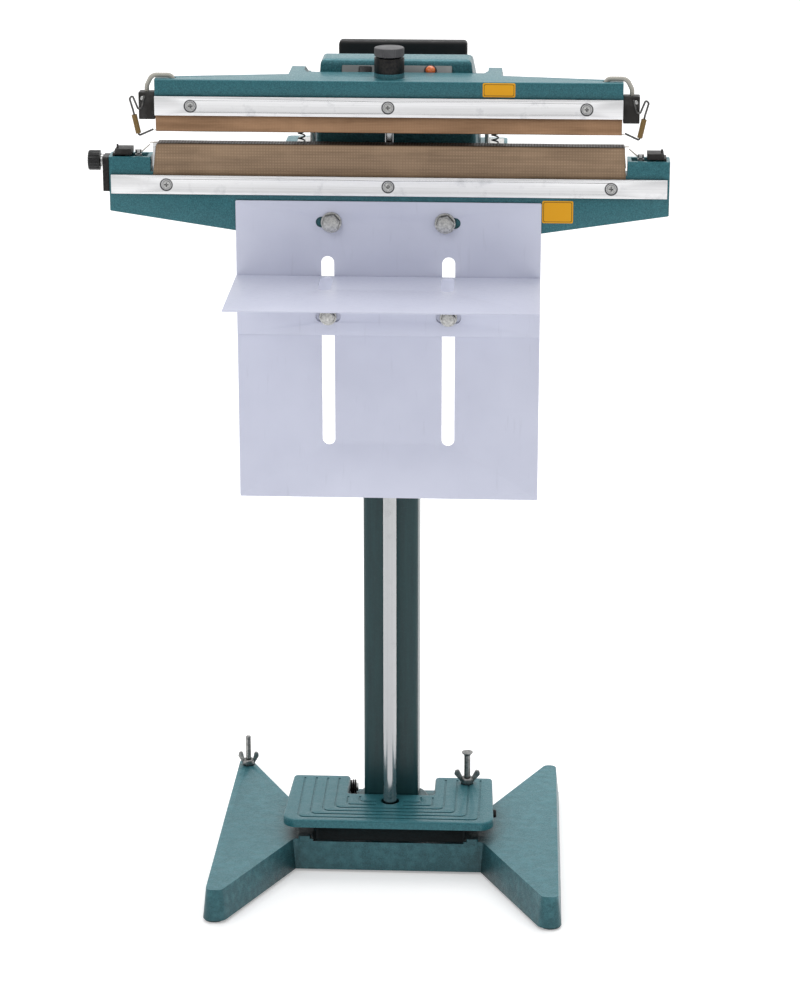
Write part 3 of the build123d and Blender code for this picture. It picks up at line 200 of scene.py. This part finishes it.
def enamel(name, deep, light, depth=0.0002):
    """Smooth brushed-on enamel, with faint long runs down the metal."""
    g = Graph(name)
    runs = g.noise(9.0, 4.0, vector=g.stretched((22, 22, 1.2)))
    tone = g.mix(g.level(runs, 0.3, 0.7), deep, light)
    tone = g.mix(g.level(g.noise(650.0, 2.0), 0.5, 0.75, 0.0, 0.3), tone, tuple(c * 1.5 for c in light))
    g.colour(tone)
    g.rough(g.level(runs, 0.2, 0.8, 0.28, 0.42))
    g.bump((g.noise(180.0, 2.0), depth))
    g.set(Coat_Weight=0.1, Coat_Roughness=0.2, Specular_IOR_Level=0.35)
    return g.material


def sheet_paint(name, base, shade):
    """Pale powder coat on sheet metal, with light rubs and dust."""
    g = Graph(name)
    cloud = g.noise(7.0, 4.0)
    rubs = g.noise(30.0, 5.0, vector=g.stretched((7, 7, 0.8), (0.0, 0.35, 0.0)))
    tone = g.mix(g.level(cloud, 0.3, 0.7), base, shade)
    tone = g.mix(g.level(rubs, 0.62, 0.75, 0.0, 0.25), tone, tuple(c * 0.8 for c in shade))
    g.colour(tone)
    g.rough(g.level(rubs, 0.3, 0.8, 0.36, 0.55))
    g.bump((g.noise(900.0, 2.0), 0.00005))
    g.set(Coat_Weight=0.12, Coat_Roughness=0.3)
    return g.material


def metal(name, base, dark, rough=0.32, along=(6, 900, 900), scuffs=0.35, depth=0.00006, screws=()):
    """Bare metal with drawing or brushing lines along its length and darker scuffs."""
    g = Graph(name)
    lines = g.noise(1.0, 3.0, vector=g.stretched(along))
    patches = g.noise(38.0, 5.0, 0.65)
    tone = g.mix(g.level(lines, 0.3, 0.7), tuple(c * 0.88 for c in base), base)
    tone = g.mix(g.level(patches, 0.56, 0.72, 0.0, scuffs), tone, dark)
    # painted shade: corners and recesses of the metal are painted darker
    tone = g.mix(g.level(g.crevice(0.0035), 0.55, 0.96, 0.95, 0.0), tone, tuple(c * 0.12 for c in dark))
    # painted shadow: a thin dark ring is painted round each screw at the spot-face rim
    for centre in screws:
        measure = g.node("ShaderNodeVectorMath", {0: g.place, 1: centre}, operation="DISTANCE")
        away = measure.outputs["Value"]
        off_rim = g.math("ABSOLUTE", g.math("SUBTRACT", away, SPOT_FACE_R))
        tone = g.mix(g.level(off_rim, 0.0004, 0.0009, 0.9, 0.0), tone, tuple(c * 0.1 for c in dark))
    g.colour(tone)
    g.rough(g.math("ADD", g.level(lines, 0.2, 0.8, rough - 0.06, rough + 0.08),
                   g.level(patches, 0.5, 0.75, 0.0, 0.15)))
    g.bump((lines, depth))
    g.set(Metallic=1.0)
    return g.material


def plated(name, base, dark, rough=0.3):
    """Zinc-plated small hardware, slightly mottled, with painted shade darkening its corners."""
    g = Graph(name)
    mottle = g.noise(420.0, 4.0)
    tone = g.mix(g.level(mottle, 0.35, 0.7), base, dark)
    # painted shade: corners and recesses are painted darker
    tone = g.mix(g.level(g.crevice(0.002), 0.5, 0.95, 0.95, 0.0), tone, tuple(c * 0.1 for c in dark))
    g.colour(tone)
    g.rough(g.level(mottle, 0.3, 0.7, rough - 0.05, rough + 0.12))
    g.bump((g.noise(1500.0, 2.0), 0.00002))
    g.set(Metallic=1.0)
    return g.material


def plastic(name, base, rough=0.35, grain=1400.0, depth=0.00003, dust=0.12):
    """Moulded plastic with a fine grain and a little dust."""
    g = Graph(name)
    fine = g.noise(grain, 2.0)
    patch = g.noise(90.0, 4.0)
    g.colour(g.mix(g.level(patch, 0.45, 0.75, 0.0, dust), base, tuple(c * 0.6 + 0.12 for c in base)))
    g.rough(g.level(patch, 0.3, 0.7, rough - 0.05, rough + 0.12))
    g.bump((fine, depth))
    g.set(Specular_IOR_Level=0.28)
    return g.material


def woven(name, base, dark, browned_and_shaded, pitch, browned_and_shaded_span):
    """Resin-coated glass cloth: a square weave, streaked along the bar, darker on its sealing face with a
    little heat browning and mostly painted shade.
    """
    g = Graph(name)
    diagonal = g.bands(pitch, "DIAGONAL")
    grid = g.math("MULTIPLY", g.bands(pitch), g.bands(pitch, "Z", g.stretched((0, 1, 1))))
    streak = g.noise(1.0, 4.0, 0.6, vector=g.stretched((9, 130, 130)))
    stain = g.noise(16.0, 4.0, 0.6)
    tone = g.mix(g.level(grid, 0.0, 0.8, 0.38, 0.0), base, dark)
    tone = g.mix(g.level(streak, 0.42, 0.68, 0.0, 0.55), tone, dark)
    tone = g.mix(g.level(stain, 0.5, 0.75, 0.0, 0.35), tone, tuple(min(1, c * 1.35) for c in base))
    # painted shade and painted reflection: the sealing face is painted near-black for the dark gap between
    # the jaws, over a little real heat browning
    on_sealing_face = g.level(g.axis("Z"), browned_and_shaded_span[0], browned_and_shaded_span[1])
    tone = g.mix(g.math("MULTIPLY", on_sealing_face, g.level(streak, 0.2, 0.6, 0.75, 1.0)), tone, browned_and_shaded)
    g.colour(tone)
    g.rough(g.level(grid, 0.0, 1.0, 0.50, 0.34))
    g.bump((grid, 0.00012), (diagonal, 0.00002), (streak, 0.0003))
    g.set(Specular_IOR_Level=0.12)
    return g.material


def braid(name, base, dark, pitch=0.001256):
    """Braided sleeve: two sets of bands that cross on a slant."""
    g = Graph(name)
    one, two = (g.bands(pitch, vector=g.stretched((1, 1, 1), (0.0, slant, 0.0))) for slant in (0.7, -0.7))
    grid = g.math("MULTIPLY", one, two)
    g.colour(g.mix(g.level(grid, 0.0, 0.7), dark, base))
    g.bump((grid, 0.0002))
    g.set(Roughness=0.75)
    return g.material


def lamp_plastic(name, base, deep):
    """Translucent orange lens with flutes inside it."""
    g = Graph(name)
    flutes = g.bands(0.001208)
    g.colour(g.mix(g.level(flutes, 0.1, 0.9), deep, base))
    g.bump((flutes, 0.0001))
    g.set(Roughness=0.12, Coat_Weight=0.8, Coat_Roughness=0.05, Subsurface_Weight=0.35,
          Subsurface_Scale=0.003)
    return g.material


SPOT_FACE_R = 0.0061       # the strips are spot-faced to this radius round each screw


def screw_places(node, strip):
    """Where a strip's three screws sit on its face: both ends and the middle."""
    low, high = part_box(node)
    head_r = (high.z - low.z) / 2
    reach = high.x - head_r
    return [(x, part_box(strip)[0].y, low.z + head_r) for x in (-reach, 0.0, reach)]


TEAL_DEEP, TEAL_LIGHT = (0.005, 0.082, 0.102), (0.018, 0.132, 0.158)
STRIP_BRIGHT, STRIP_DARK = (0.88, 0.88, 0.89), (0.40, 0.41, 0.43)
M = {
    "casting": hammertone("casting_hammertone", TEAL_DEEP, TEAL_LIGHT),
    # the base casting gets painted shadow in its big hollows and under the pedal
    "base": hammertone("base_hammertone", TEAL_DEEP, TEAL_LIGHT, shade=1.0),
    "cover": hammertone("cover_hammertone", TEAL_DEEP, TEAL_LIGHT, 480.0, 0.00025),
    "column": enamel("column_enamel", (0.004, 0.030, 0.035), (0.008, 0.045, 0.050)),
    "tray": sheet_paint("tray_paint", (0.60, 0.62, 0.74), (0.52, 0.54, 0.66)),
    "lower_strip": metal("lower_strip_aluminium", STRIP_BRIGHT, STRIP_DARK, 0.42, (5, 700, 700), 0.45,
                         screws=screw_places("lower_strip_screws", "lower_clamp_strip")),
    "upper_strip": metal("upper_strip_aluminium", STRIP_BRIGHT, STRIP_DARK, 0.42, (5, 700, 700), 0.55,
                         screws=screw_places("upper_strip_screws", "upper_clamp_strip")),
    "bar": metal("bar_aluminium", (0.78, 0.78, 0.78), (0.35, 0.34, 0.32), 0.36, (5, 700, 700), 0.4),
    "zinc": plated("zinc_plate", (0.56, 0.56, 0.55), (0.30, 0.30, 0.30)),
    "dark_zinc": plated("aged_zinc", (0.34, 0.34, 0.33), (0.16, 0.16, 0.16), 0.36),
    "bracket": plated("bracket_zinc", (0.72, 0.72, 0.70), (0.45, 0.45, 0.44), 0.4),
    "chrome": metal("rod_chrome", (0.44, 0.45, 0.46), (0.26, 0.26, 0.27), 0.16, (900, 900, 3), 0.25,
                    0.00001),
    "black_steel": plated("black_oxide", (0.022, 0.022, 0.024), (0.045, 0.043, 0.040), 0.42),
    "spring": plated("spring_steel", (0.16, 0.155, 0.15), (0.06, 0.06, 0.06), 0.38),
    "nichrome": metal("nichrome_ribbon", (0.52, 0.48, 0.43), (0.20, 0.16, 0.12), 0.35, (40, 900, 900), 0.5),
    "knob": plastic("knob_plastic", (0.018, 0.018, 0.019), 0.28),
    "handle": plastic("handle_plastic", (0.006, 0.006, 0.007), 0.55, 1100.0, 0.00006, 0.04),
    "knurled": plastic("knurled_plastic", (0.075, 0.075, 0.08), 0.42, 1200.0, 0.00004, 0.3),
    "label": plastic("label_vinyl", (0.70, 0.33, 0.004), 0.4, 600.0, 0.00001, 0.02),
    "label_line": plastic("label_ink", (0.05, 0.035, 0.012), 0.4, 600.0, 0.00001, 0.1),
    # each cloth's third colour is the painted shade on its sealing face, over a little heat browning
    "lower_cloth": woven("lower_cloth_weave", (0.330, 0.228, 0.146), (0.150, 0.100, 0.064),
                         (0.028, 0.017, 0.012), 0.0030, (0.8076, 0.8086)),
    "upper_cloth": woven("upper_cloth_weave", (0.376, 0.223, 0.127), (0.155, 0.085, 0.045),
                         (0.050, 0.030, 0.020), 0.0016, (0.8222, 0.8212)),
    "insulator": plastic("insulator", (0.014, 0.012, 0.011), 0.5, 900.0, 0.00005, 0.35),
    "panel": sheet_paint("panel_paint", (0.095, 0.105, 0.105), (0.065, 0.075, 0.075)),
    "lamp": lamp_plastic("lamp_orange", (0.85, 0.20, 0.02), (0.45, 0.06, 0.008)),
    "lead": braid("lead_sleeving", (0.62, 0.60, 0.54), (0.34, 0.32, 0.28)),
    "sleeve": braid("sleeve_varnished", (0.30, 0.19, 0.06), (0.12, 0.07, 0.02), 0.000942),
    "coil": metal("coil_copper", (0.50, 0.22, 0.09), (0.22, 0.08, 0.03), 0.3, (900, 900, 1500), 0.3,
                  0.0003),
    "core": metal("core_laminations", (0.20, 0.20, 0.21), (0.08, 0.06, 0.05), 0.5, (20, 2400, 20), 0.4,
                  0.0002),
    "board": plastic("board_green", (0.02, 0.14, 0.05), 0.35, 500.0, 0.00005, 0.2),
}
NODE_MATERIALS = {
    "base": ("base_casting",),
    "casting": ("lower_body", "pedal", "upper_casting"),
    "cover": ("box_base", "box_cover"),
    "column": ("column_tube",),
    "tray": ("tray_plate", "tray_shelf"),
    "lower_strip": ("lower_clamp_strip",),
    "upper_strip": ("upper_clamp_strip",),
    "bar": ("lower_sealing_bar", "upper_sealing_bar"),
    "dark_zinc": ("levelling_stud", "levelling_wing_nut", "pedal_stop_screw", "pedal_stop_wing_nut"),
    "zinc": ("pedal_pivot_pins", "lower_strip_screws",
             "upper_strip_screws", "lower_terminal_screws", "timer_potentiometer", "timer_nut",
             "tray_bolts", "tray_washers", "jaw_pivot_pins", "rod_end_eye", "shelf_bolts",
             "shelf_washers", "shelf_nuts"),
    "bracket": ("pivot_brackets",),
    "chrome": ("pull_rod",),
    "black_steel": ("column_clamp_screws", "pedal_return_spring", "timer_plate", "pedal_cross_shaft",
                    "spring_cup"),
    "spring": ("jaw_lift_springs", "ribbon_tension_springs", "pressure_spring"),
    "nichrome": ("lower_heating_ribbon", "lower_ribbon_wires", "upper_heating_ribbon"),
    "knob": ("timer_knob", "switch_rocker", "lamp_bezel", "mains_inlet"),
    "handle": ("carry_handle",),
    "knurled": ("pressure_knob",),
    "insulator": ("lower_terminal_blocks", "upper_end_blocks"),
    "panel": ("control_panel",),
    "lamp": ("lamp_lens",),
    "lead": ("upper_leads",),
    "sleeve": ("ribbon_sleeves",),
    "coil": ("transformer_coil",),
    "core": ("transformer_core",),
    "board": ("timer_board",),
}
EDGE_ROUNDING = {
    "base_casting": 0.0034, "lower_body": 0.0018, "upper_casting": 0.0016, "pedal": 0.0016,
    "box_cover": 0.0, "carry_handle": 0.0, "control_panel": 0.0008, "tray_plate": 0.0003,
    "tray_shelf": 0.0003, "pivot_brackets": 0.0006, "upper_end_blocks": 0.0008,
    "lower_terminal_blocks": 0.0005, "lower_clamp_strip": 0.0004, "upper_clamp_strip": 0.0004,
    "timer_knob": 0.0004, "pressure_knob": 0.0003, "tray_bolts": 0.0005, "shelf_bolts": 0.0005,
    "tray_washers": 0.0003, "shelf_washers": 0.0003, "levelling_wing_nut": 0.0007,
    "pedal_stop_wing_nut": 0.0007, "spring_cup": 0.0004, "switch_rocker": 0.0004,
    "lamp_bezel": 0.0004, "timer_nut": 0.0003, "timer_plate": 0.0004,
}


WELD_GAP = 0.00002
HARD_EDGE_DEGREES = 38     # edges sharper than this are rounded
SMOOTH_DEGREES = 35        # edges flatter than this are shaded smooth


def soften(obj, width):
    """Joins the CAD mesh's facets, rounds its hard edges and shades it smooth."""
    weld = obj.modifiers.new("weld", "WELD")
    weld.merge_threshold = WELD_GAP
    if width:
        bevel = obj.modifiers.new("round", "BEVEL")
        bevel.width = width
        bevel.segments = 3
        bevel.limit_method = "ANGLE"
        bevel.angle_limit = math.radians(HARD_EDGE_DEGREES)
        bevel.use_clamp_overlap = True
    for polygon in obj.data.polygons:
        polygon.use_smooth = True


def smooth_by_angle(obj):
    """Marks edges sharper than the angle as sharp, by a node group on the object."""
    group = bpy.data.node_groups.get("shade_by_angle")
    if group is None:
        group = bpy.data.node_groups.new("shade_by_angle", "GeometryNodeTree")
        group.interface.new_socket("Geometry", in_out="INPUT", socket_type="NodeSocketGeometry")
        group.interface.new_socket("Geometry", in_out="OUTPUT", socket_type="NodeSocketGeometry")
        nodes, links = group.nodes, group.links
        start = nodes.new("NodeGroupInput")
        end = nodes.new("NodeGroupOutput")
        angle = nodes.new("GeometryNodeInputMeshEdgeAngle")
        flat = nodes.new("FunctionNodeCompare")
        flat.operation = "LESS_EQUAL"
        flat.inputs[1].default_value = math.radians(SMOOTH_DEGREES)
        edge = nodes.new("GeometryNodeSetShadeSmooth")
        edge.domain = "EDGE"
        links.new(angle.outputs["Unsigned Angle"], flat.inputs[0])
        links.new(start.outputs[0], edge.inputs["Geometry"])
        links.new(flat.outputs[0], edge.inputs["Shade Smooth"])
        links.new(edge.outputs[0], end.inputs[0])
    shade = obj.modifiers.new("shade", "NODES")
    shade.node_group = group


for material, names in NODE_MATERIALS.items():
    for name in names:
        part = NODES[name]
        part.data.materials.clear()
        part.data.materials.append(M[material])
        soften(part, EDGE_ROUNDING.get(name, 0.0))
        smooth_by_angle(part)



def new_object(name, mesh):
    made = bpy.data.objects.new(name, mesh)
    SCENE.collection.objects.link(made)
    return made


# ---------------------------------------------------------------- cloths over the sealing bars
CLOTH_SKIN = 0.0003
CLOTH_INSET = 0.00035      # the cloth's middle surface lies this far inside its space
CLOTH_BEND_R = 0.0026
CLOTH_COLUMNS = 120
CUT_HEIGHT = 0.012         # the ends are cut at a slant over this height below the face
RIPPLE = 0.00012


def rounded_path(corners, radius, steps=6):
    """Points of a path through corners, each inner corner turned on an arc of the radius."""
    path = [Vector(corners[0])]
    for before, corner, after in zip(corners, corners[1:], corners[2:]):
        here = Vector(corner)
        start = here + (Vector(before) - here).normalized() * radius
        end = here + (Vector(after) - here).normalized() * radius
        for k in range(steps + 1):
            t = k / steps
            path.append(start * (1 - t) ** 2 + here * 2 * t * (1 - t) + end * t ** 2)
    path.append(Vector(corners[-1]))
    return path


def wrapped_cloth(name, node, body, material, half, rear_seam, slant, cuts, face_high):
    """A cloth laid over a bar's face: under the clamp strip in front, down the back behind it.

    Its front edge of the face stands slant higher than the rear one, and cuts are how far the
    left and right ends draw in at the face.
    """
    low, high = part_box(node)
    front_y, rear_y = low.y + CLOTH_INSET, high.y - CLOTH_INSET
    if face_high:
        seam, face = low.z + 0.002, high.z - CLOTH_INSET
    else:
        seam, face = high.z - 0.002, low.z + CLOTH_INSET
    corners = [(front_y, seam), (front_y, face + slant), (rear_y, face), (rear_y, rear_seam)]
    path = rounded_path(corners, CLOTH_BEND_R)
    bm = bmesh.new()
    sign = 1 if face_high else -1
    rows = []
    for k, (y, z) in enumerate(path):
        near_face = max(0.0, 1 - abs(z - face) / CUT_HEIGHT)
        left, right = -half + cuts[0] * near_face, half - cuts[1] * near_face
        row = []
        for i in range(CLOTH_COLUMNS + 1):
            x = left + (right - left) * i / CLOTH_COLUMNS
            wave = RIPPLE * math.sin(x * 61.0 + k) * math.sin(x * 23.0)
            row.append(bm.verts.new((x, y, z + sign * (wave - RIPPLE) * near_face)))
        rows.append(row)
    for lower, upper in zip(rows, rows[1:]):
        for i in range(CLOTH_COLUMNS):
            bm.faces.new((lower[i], lower[i + 1], upper[i + 1], upper[i]))
    bmesh.ops.recalc_face_normals(bm, faces=bm.faces)
    mesh = bpy.data.meshes.new(name)
    bm.to_mesh(mesh)
    cloth = new_object(name, mesh)
    for polygon in mesh.polygons:
        polygon.use_smooth = True
    mesh.materials.append(material)
    skin_modifier = cloth.modifiers.new("thickness", "SOLIDIFY")
    skin_modifier.thickness = CLOTH_SKIN
    skin_modifier.offset = 0.0
    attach(cloth, body)
    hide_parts(node)


wrapped_cloth("lower_cloth_sheet", "lower_ptfe_cloth", "frame", M["lower_cloth"], 0.2448,
              0.7835, 0.0, (0.0065, 0.0025), True)
wrapped_cloth("upper_cloth_sheet", "upper_ptfe_cloth", "upper_jaw", M["upper_cloth"], 0.2393,
              0.8340, 0.0012, (0.0, 0.0), False)


# ---------------------------------------------------------------- lift springs under the arms
def coil_spring(bm, centre_x, centre_y, bottom, height, coil_r, wire_r, turns):
    """Adds one helical wire spring, standing upright, to the mesh."""
    around, per_turn = 10, 28
    steps = int(turns * per_turn)
    rings = []
    for k in range(steps + 1):
        angle = 2 * math.pi * k / per_turn
        out = Vector((math.cos(angle), math.sin(angle), 0))
        middle = Vector((centre_x, centre_y, bottom + height * k / steps)) + out * coil_r
        ring = []
        for i in range(around):
            turn = 2 * math.pi * i / around
            off_axis = out * math.cos(turn) + Vector((0, 0, math.sin(turn)))
            ring.append(bm.verts.new(middle + wire_r * off_axis))
        rings.append(ring)
    for one, two in zip(rings, rings[1:]):
        for i in range(around):
            bm.faces.new((one[i], one[(i + 1) % around], two[(i + 1) % around], two[i]))
    bm.faces.new(rings[0])
    bm.faces.new(rings[-1])


def lift_springs():
    """The pair of springs that push the upper jaw open; they shorten as it closes, but are drawn at one
    fixed length on the frame.
    """
    low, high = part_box("jaw_lift_springs")
    wire_r = 0.0009
    coil_r = (high.y - low.y) / 2 - wire_r
    centre_y = (low.y + high.y) / 2
    inset = coil_r + wire_r + 0.00002
    bm = bmesh.new()
    for centre_x in (low.x + inset, high.x - inset):
        coil_spring(bm, centre_x, centre_y, low.z + 2 * wire_r, high.z - low.z - 4 * wire_r,
                    coil_r - 0.00003, wire_r, 11.5)
    bmesh.ops.recalc_face_normals(bm, faces=bm.faces)
    mesh = bpy.data.meshes.new("lift_spring_coils")
    bm.to_mesh(mesh)
    coils = new_object("lift_spring_coils", mesh)
    for polygon in mesh.polygons:
        polygon.use_smooth = len(polygon.vertices) == 4
    mesh.materials.append(M["spring"])
    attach(coils, "frame")
    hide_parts("jaw_lift_springs")
    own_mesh(coils)


lift_springs()


# ---------------------------------------------------------------- labels and small screws
def rounded_outline(x0, x1, z0, z1, radius, steps=5):
    """Corner-rounded rectangle outline as (x, z) points."""
    points = []
    for cx, cz, turn in ((x1 - radius, z1 - radius, 0), (x0 + radius, z1 - radius, 90),
                         (x0 + radius, z0 + radius, 180), (x1 - radius, z0 + radius, 270)):
        for k in range(steps + 1):
            angle = math.radians(turn + 90 * k / steps)
            points.append((cx + radius * math.cos(angle), cz + radius * math.sin(angle)))
    return points


def flat_label(name, body, x0, x1, z0, z1, face_y):
    """A plain vinyl label with a printed border line and no lettering."""
    bm = bmesh.new()
    rings = []
    for inset, lift in ((0.0, 0.0), (0.0001, 0.00018), (0.0013, 0.0002), (0.0018, 0.0002)):
        outline = rounded_outline(x0 + inset, x1 - inset, z0 + inset, z1 - inset, 0.0016)
        rings.append([bm.verts.new((x, face_y - lift, z)) for x, z in outline])
    for k, (outer, inner) in enumerate(zip(rings, rings[1:])):
        for i in range(len(outer)):
            j = (i + 1) % len(outer)
            face = bm.faces.new((outer[i], outer[j], inner[j], inner[i]))
            face.material_index = 1 if k == 2 else 0
    bm.faces.new(rings[-1])
    bm.faces.new(list(reversed(rings[0])))
    bmesh.ops.recalc_face_normals(bm, faces=bm.faces)
    mesh = bpy.data.meshes.new(name)
    bm.to_mesh(mesh)
    label = new_object(name, mesh)
    mesh.materials.append(M["label"])
    mesh.materials.append(M["label_line"])
    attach(label, body)


JAW_FRONT_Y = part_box("upper_casting")[0].y
flat_label("upper_label", "upper_jaw", 0.0966, 0.130, 0.8596, 0.8742, JAW_FRONT_Y - 0.00003)
flat_label("lower_label", "frame", 0.159, 0.191, 0.729, 0.7525, JAW_FRONT_Y - 0.00003)


def pan_screw(name, body, place, radius, material):
    """A domed screw head facing -Y."""
    bm = bmesh.new()
    sides = 32
    profile = [(1.0, 0.0), (1.0, 0.25), (0.93, 0.45), (0.75, 0.62), (0.45, 0.72), (0.2, 0.74)]
    rings = []
    for reach, lift in profile:
        rings.append([bm.verts.new((
            place[0] + radius * reach * math.cos(2 * math.pi * k / sides),
            place[1] - radius * lift,
            place[2] + radius * reach * math.sin(2 * math.pi * k / sides))) for k in range(sides)])
    for outer, inner in zip(rings, rings[1:]):
        for k in range(sides):
            bm.faces.new((outer[k], outer[(k + 1) % sides], inner[(k + 1) % sides], inner[k]))
    bm.faces.new(rings[-1])
    bm.faces.new(rings[0])
    bmesh.ops.recalc_face_normals(bm, faces=bm.faces)
    mesh = bpy.data.meshes.new(name)
    bm.to_mesh(mesh)
    head = new_object(name, mesh)
    for polygon in mesh.polygons:
        polygon.use_smooth = len(polygon.vertices) == 4
    mesh.materials.append(material)
    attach(head, body)


BLOCK_LOW, BLOCK_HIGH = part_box("upper_end_blocks")
for side, word in ((-1, "left"), (1, "right")):
    pan_screw(f"end_block_screw_{word}", "upper_jaw",
              (side * (BLOCK_HIGH.x - 0.0042), BLOCK_LOW.y - 0.00002, BLOCK_HIGH.z - 0.006),
              0.0024, M["zinc"])

# ---------------------------------------------------------------- stage, lights, camera

def stage_floor():
    """A plain pale floor that curves up into a plain backdrop."""
    g = Graph("studio_paper")
    g.colour(g.mix(g.noise(3.0, 2.0), (0.93, 0.93, 0.93), (0.96, 0.96, 0.96)))
    g.set(Roughness=0.9, Emission_Color=(1, 1, 1, 1), Emission_Strength=0.30)
    bm = bmesh.new()
    profile = [(-6.0, 0.0), (2.0, 0.0)]
    profile += [(2.0 + 1.5 * math.sin(a), 1.5 - 1.5 * math.cos(a)) for a in
                [math.radians(9 * k) for k in range(1, 11)]]
    profile.append((3.5, 6.0))
    rows = [[bm.verts.new((x, y, z - 0.0005)) for y, z in profile] for x in (-7.0, 7.0)]
    for k in range(len(profile) - 1):
        bm.faces.new((rows[0][k], rows[1][k], rows[1][k + 1], rows[0][k + 1]))
    mesh = bpy.data.meshes.new("studio_sweep")
    bm.to_mesh(mesh)
    floor = new_object("studio_sweep", mesh)
    for polygon in mesh.polygons:
        polygon.use_smooth = True
    mesh.materials.append(g.material)


def area_light(name, place, target, size, power):
    data = bpy.data.lights.new(name, "AREA")
    data.shape = "RECTANGLE"
    data.size, data.size_y = size
    data.energy = power
    made = bpy.data.objects.new(name, data)
    made.location = place
    made.rotation_euler = (Vector(target) - Vector(place)).to_track_quat("-Z", "Y").to_euler()
    SCENE.collection.objects.link(made)


stage_floor()
world = bpy.data.worlds.new("studio")
world.use_nodes = True
world.node_tree.nodes["Background"].inputs["Color"].default_value = (1, 1, 1, 1)
world.node_tree.nodes["Background"].inputs["Strength"].default_value = 0.58
SCENE.world = world
area_light("key", (-1.4, -2.2, 3.0), (0, 0, 0.6), (1.8, 1.8), 24)
area_light("fill", (2.6, -2.2, 1.6), (0, 0, 0.5), (1.6, 2.0), 7)
area_light("top", (0.2, 0.6, 3.2), (0, 0, 0.6), (2.4, 1.8), 44)
SCENE.view_settings.view_transform = "Standard"

camera_data = bpy.data.cameras.new("camera")
camera_data.sensor_fit = "VERTICAL"
camera_data.sensor_height = 24.0
camera_data.lens = 73.163
camera_data.clip_start = 0.05
camera = bpy.data.objects.new("camera", camera_data)
camera.location = (0.16267, -3.16008, 1.43630)
camera.rotation_euler = (math.radians(90 - 18.116), 0.0, math.radians(2.792))
SCENE.collection.objects.link(camera)
SCENE.camera = camera

bpy.context.view_layer.update()
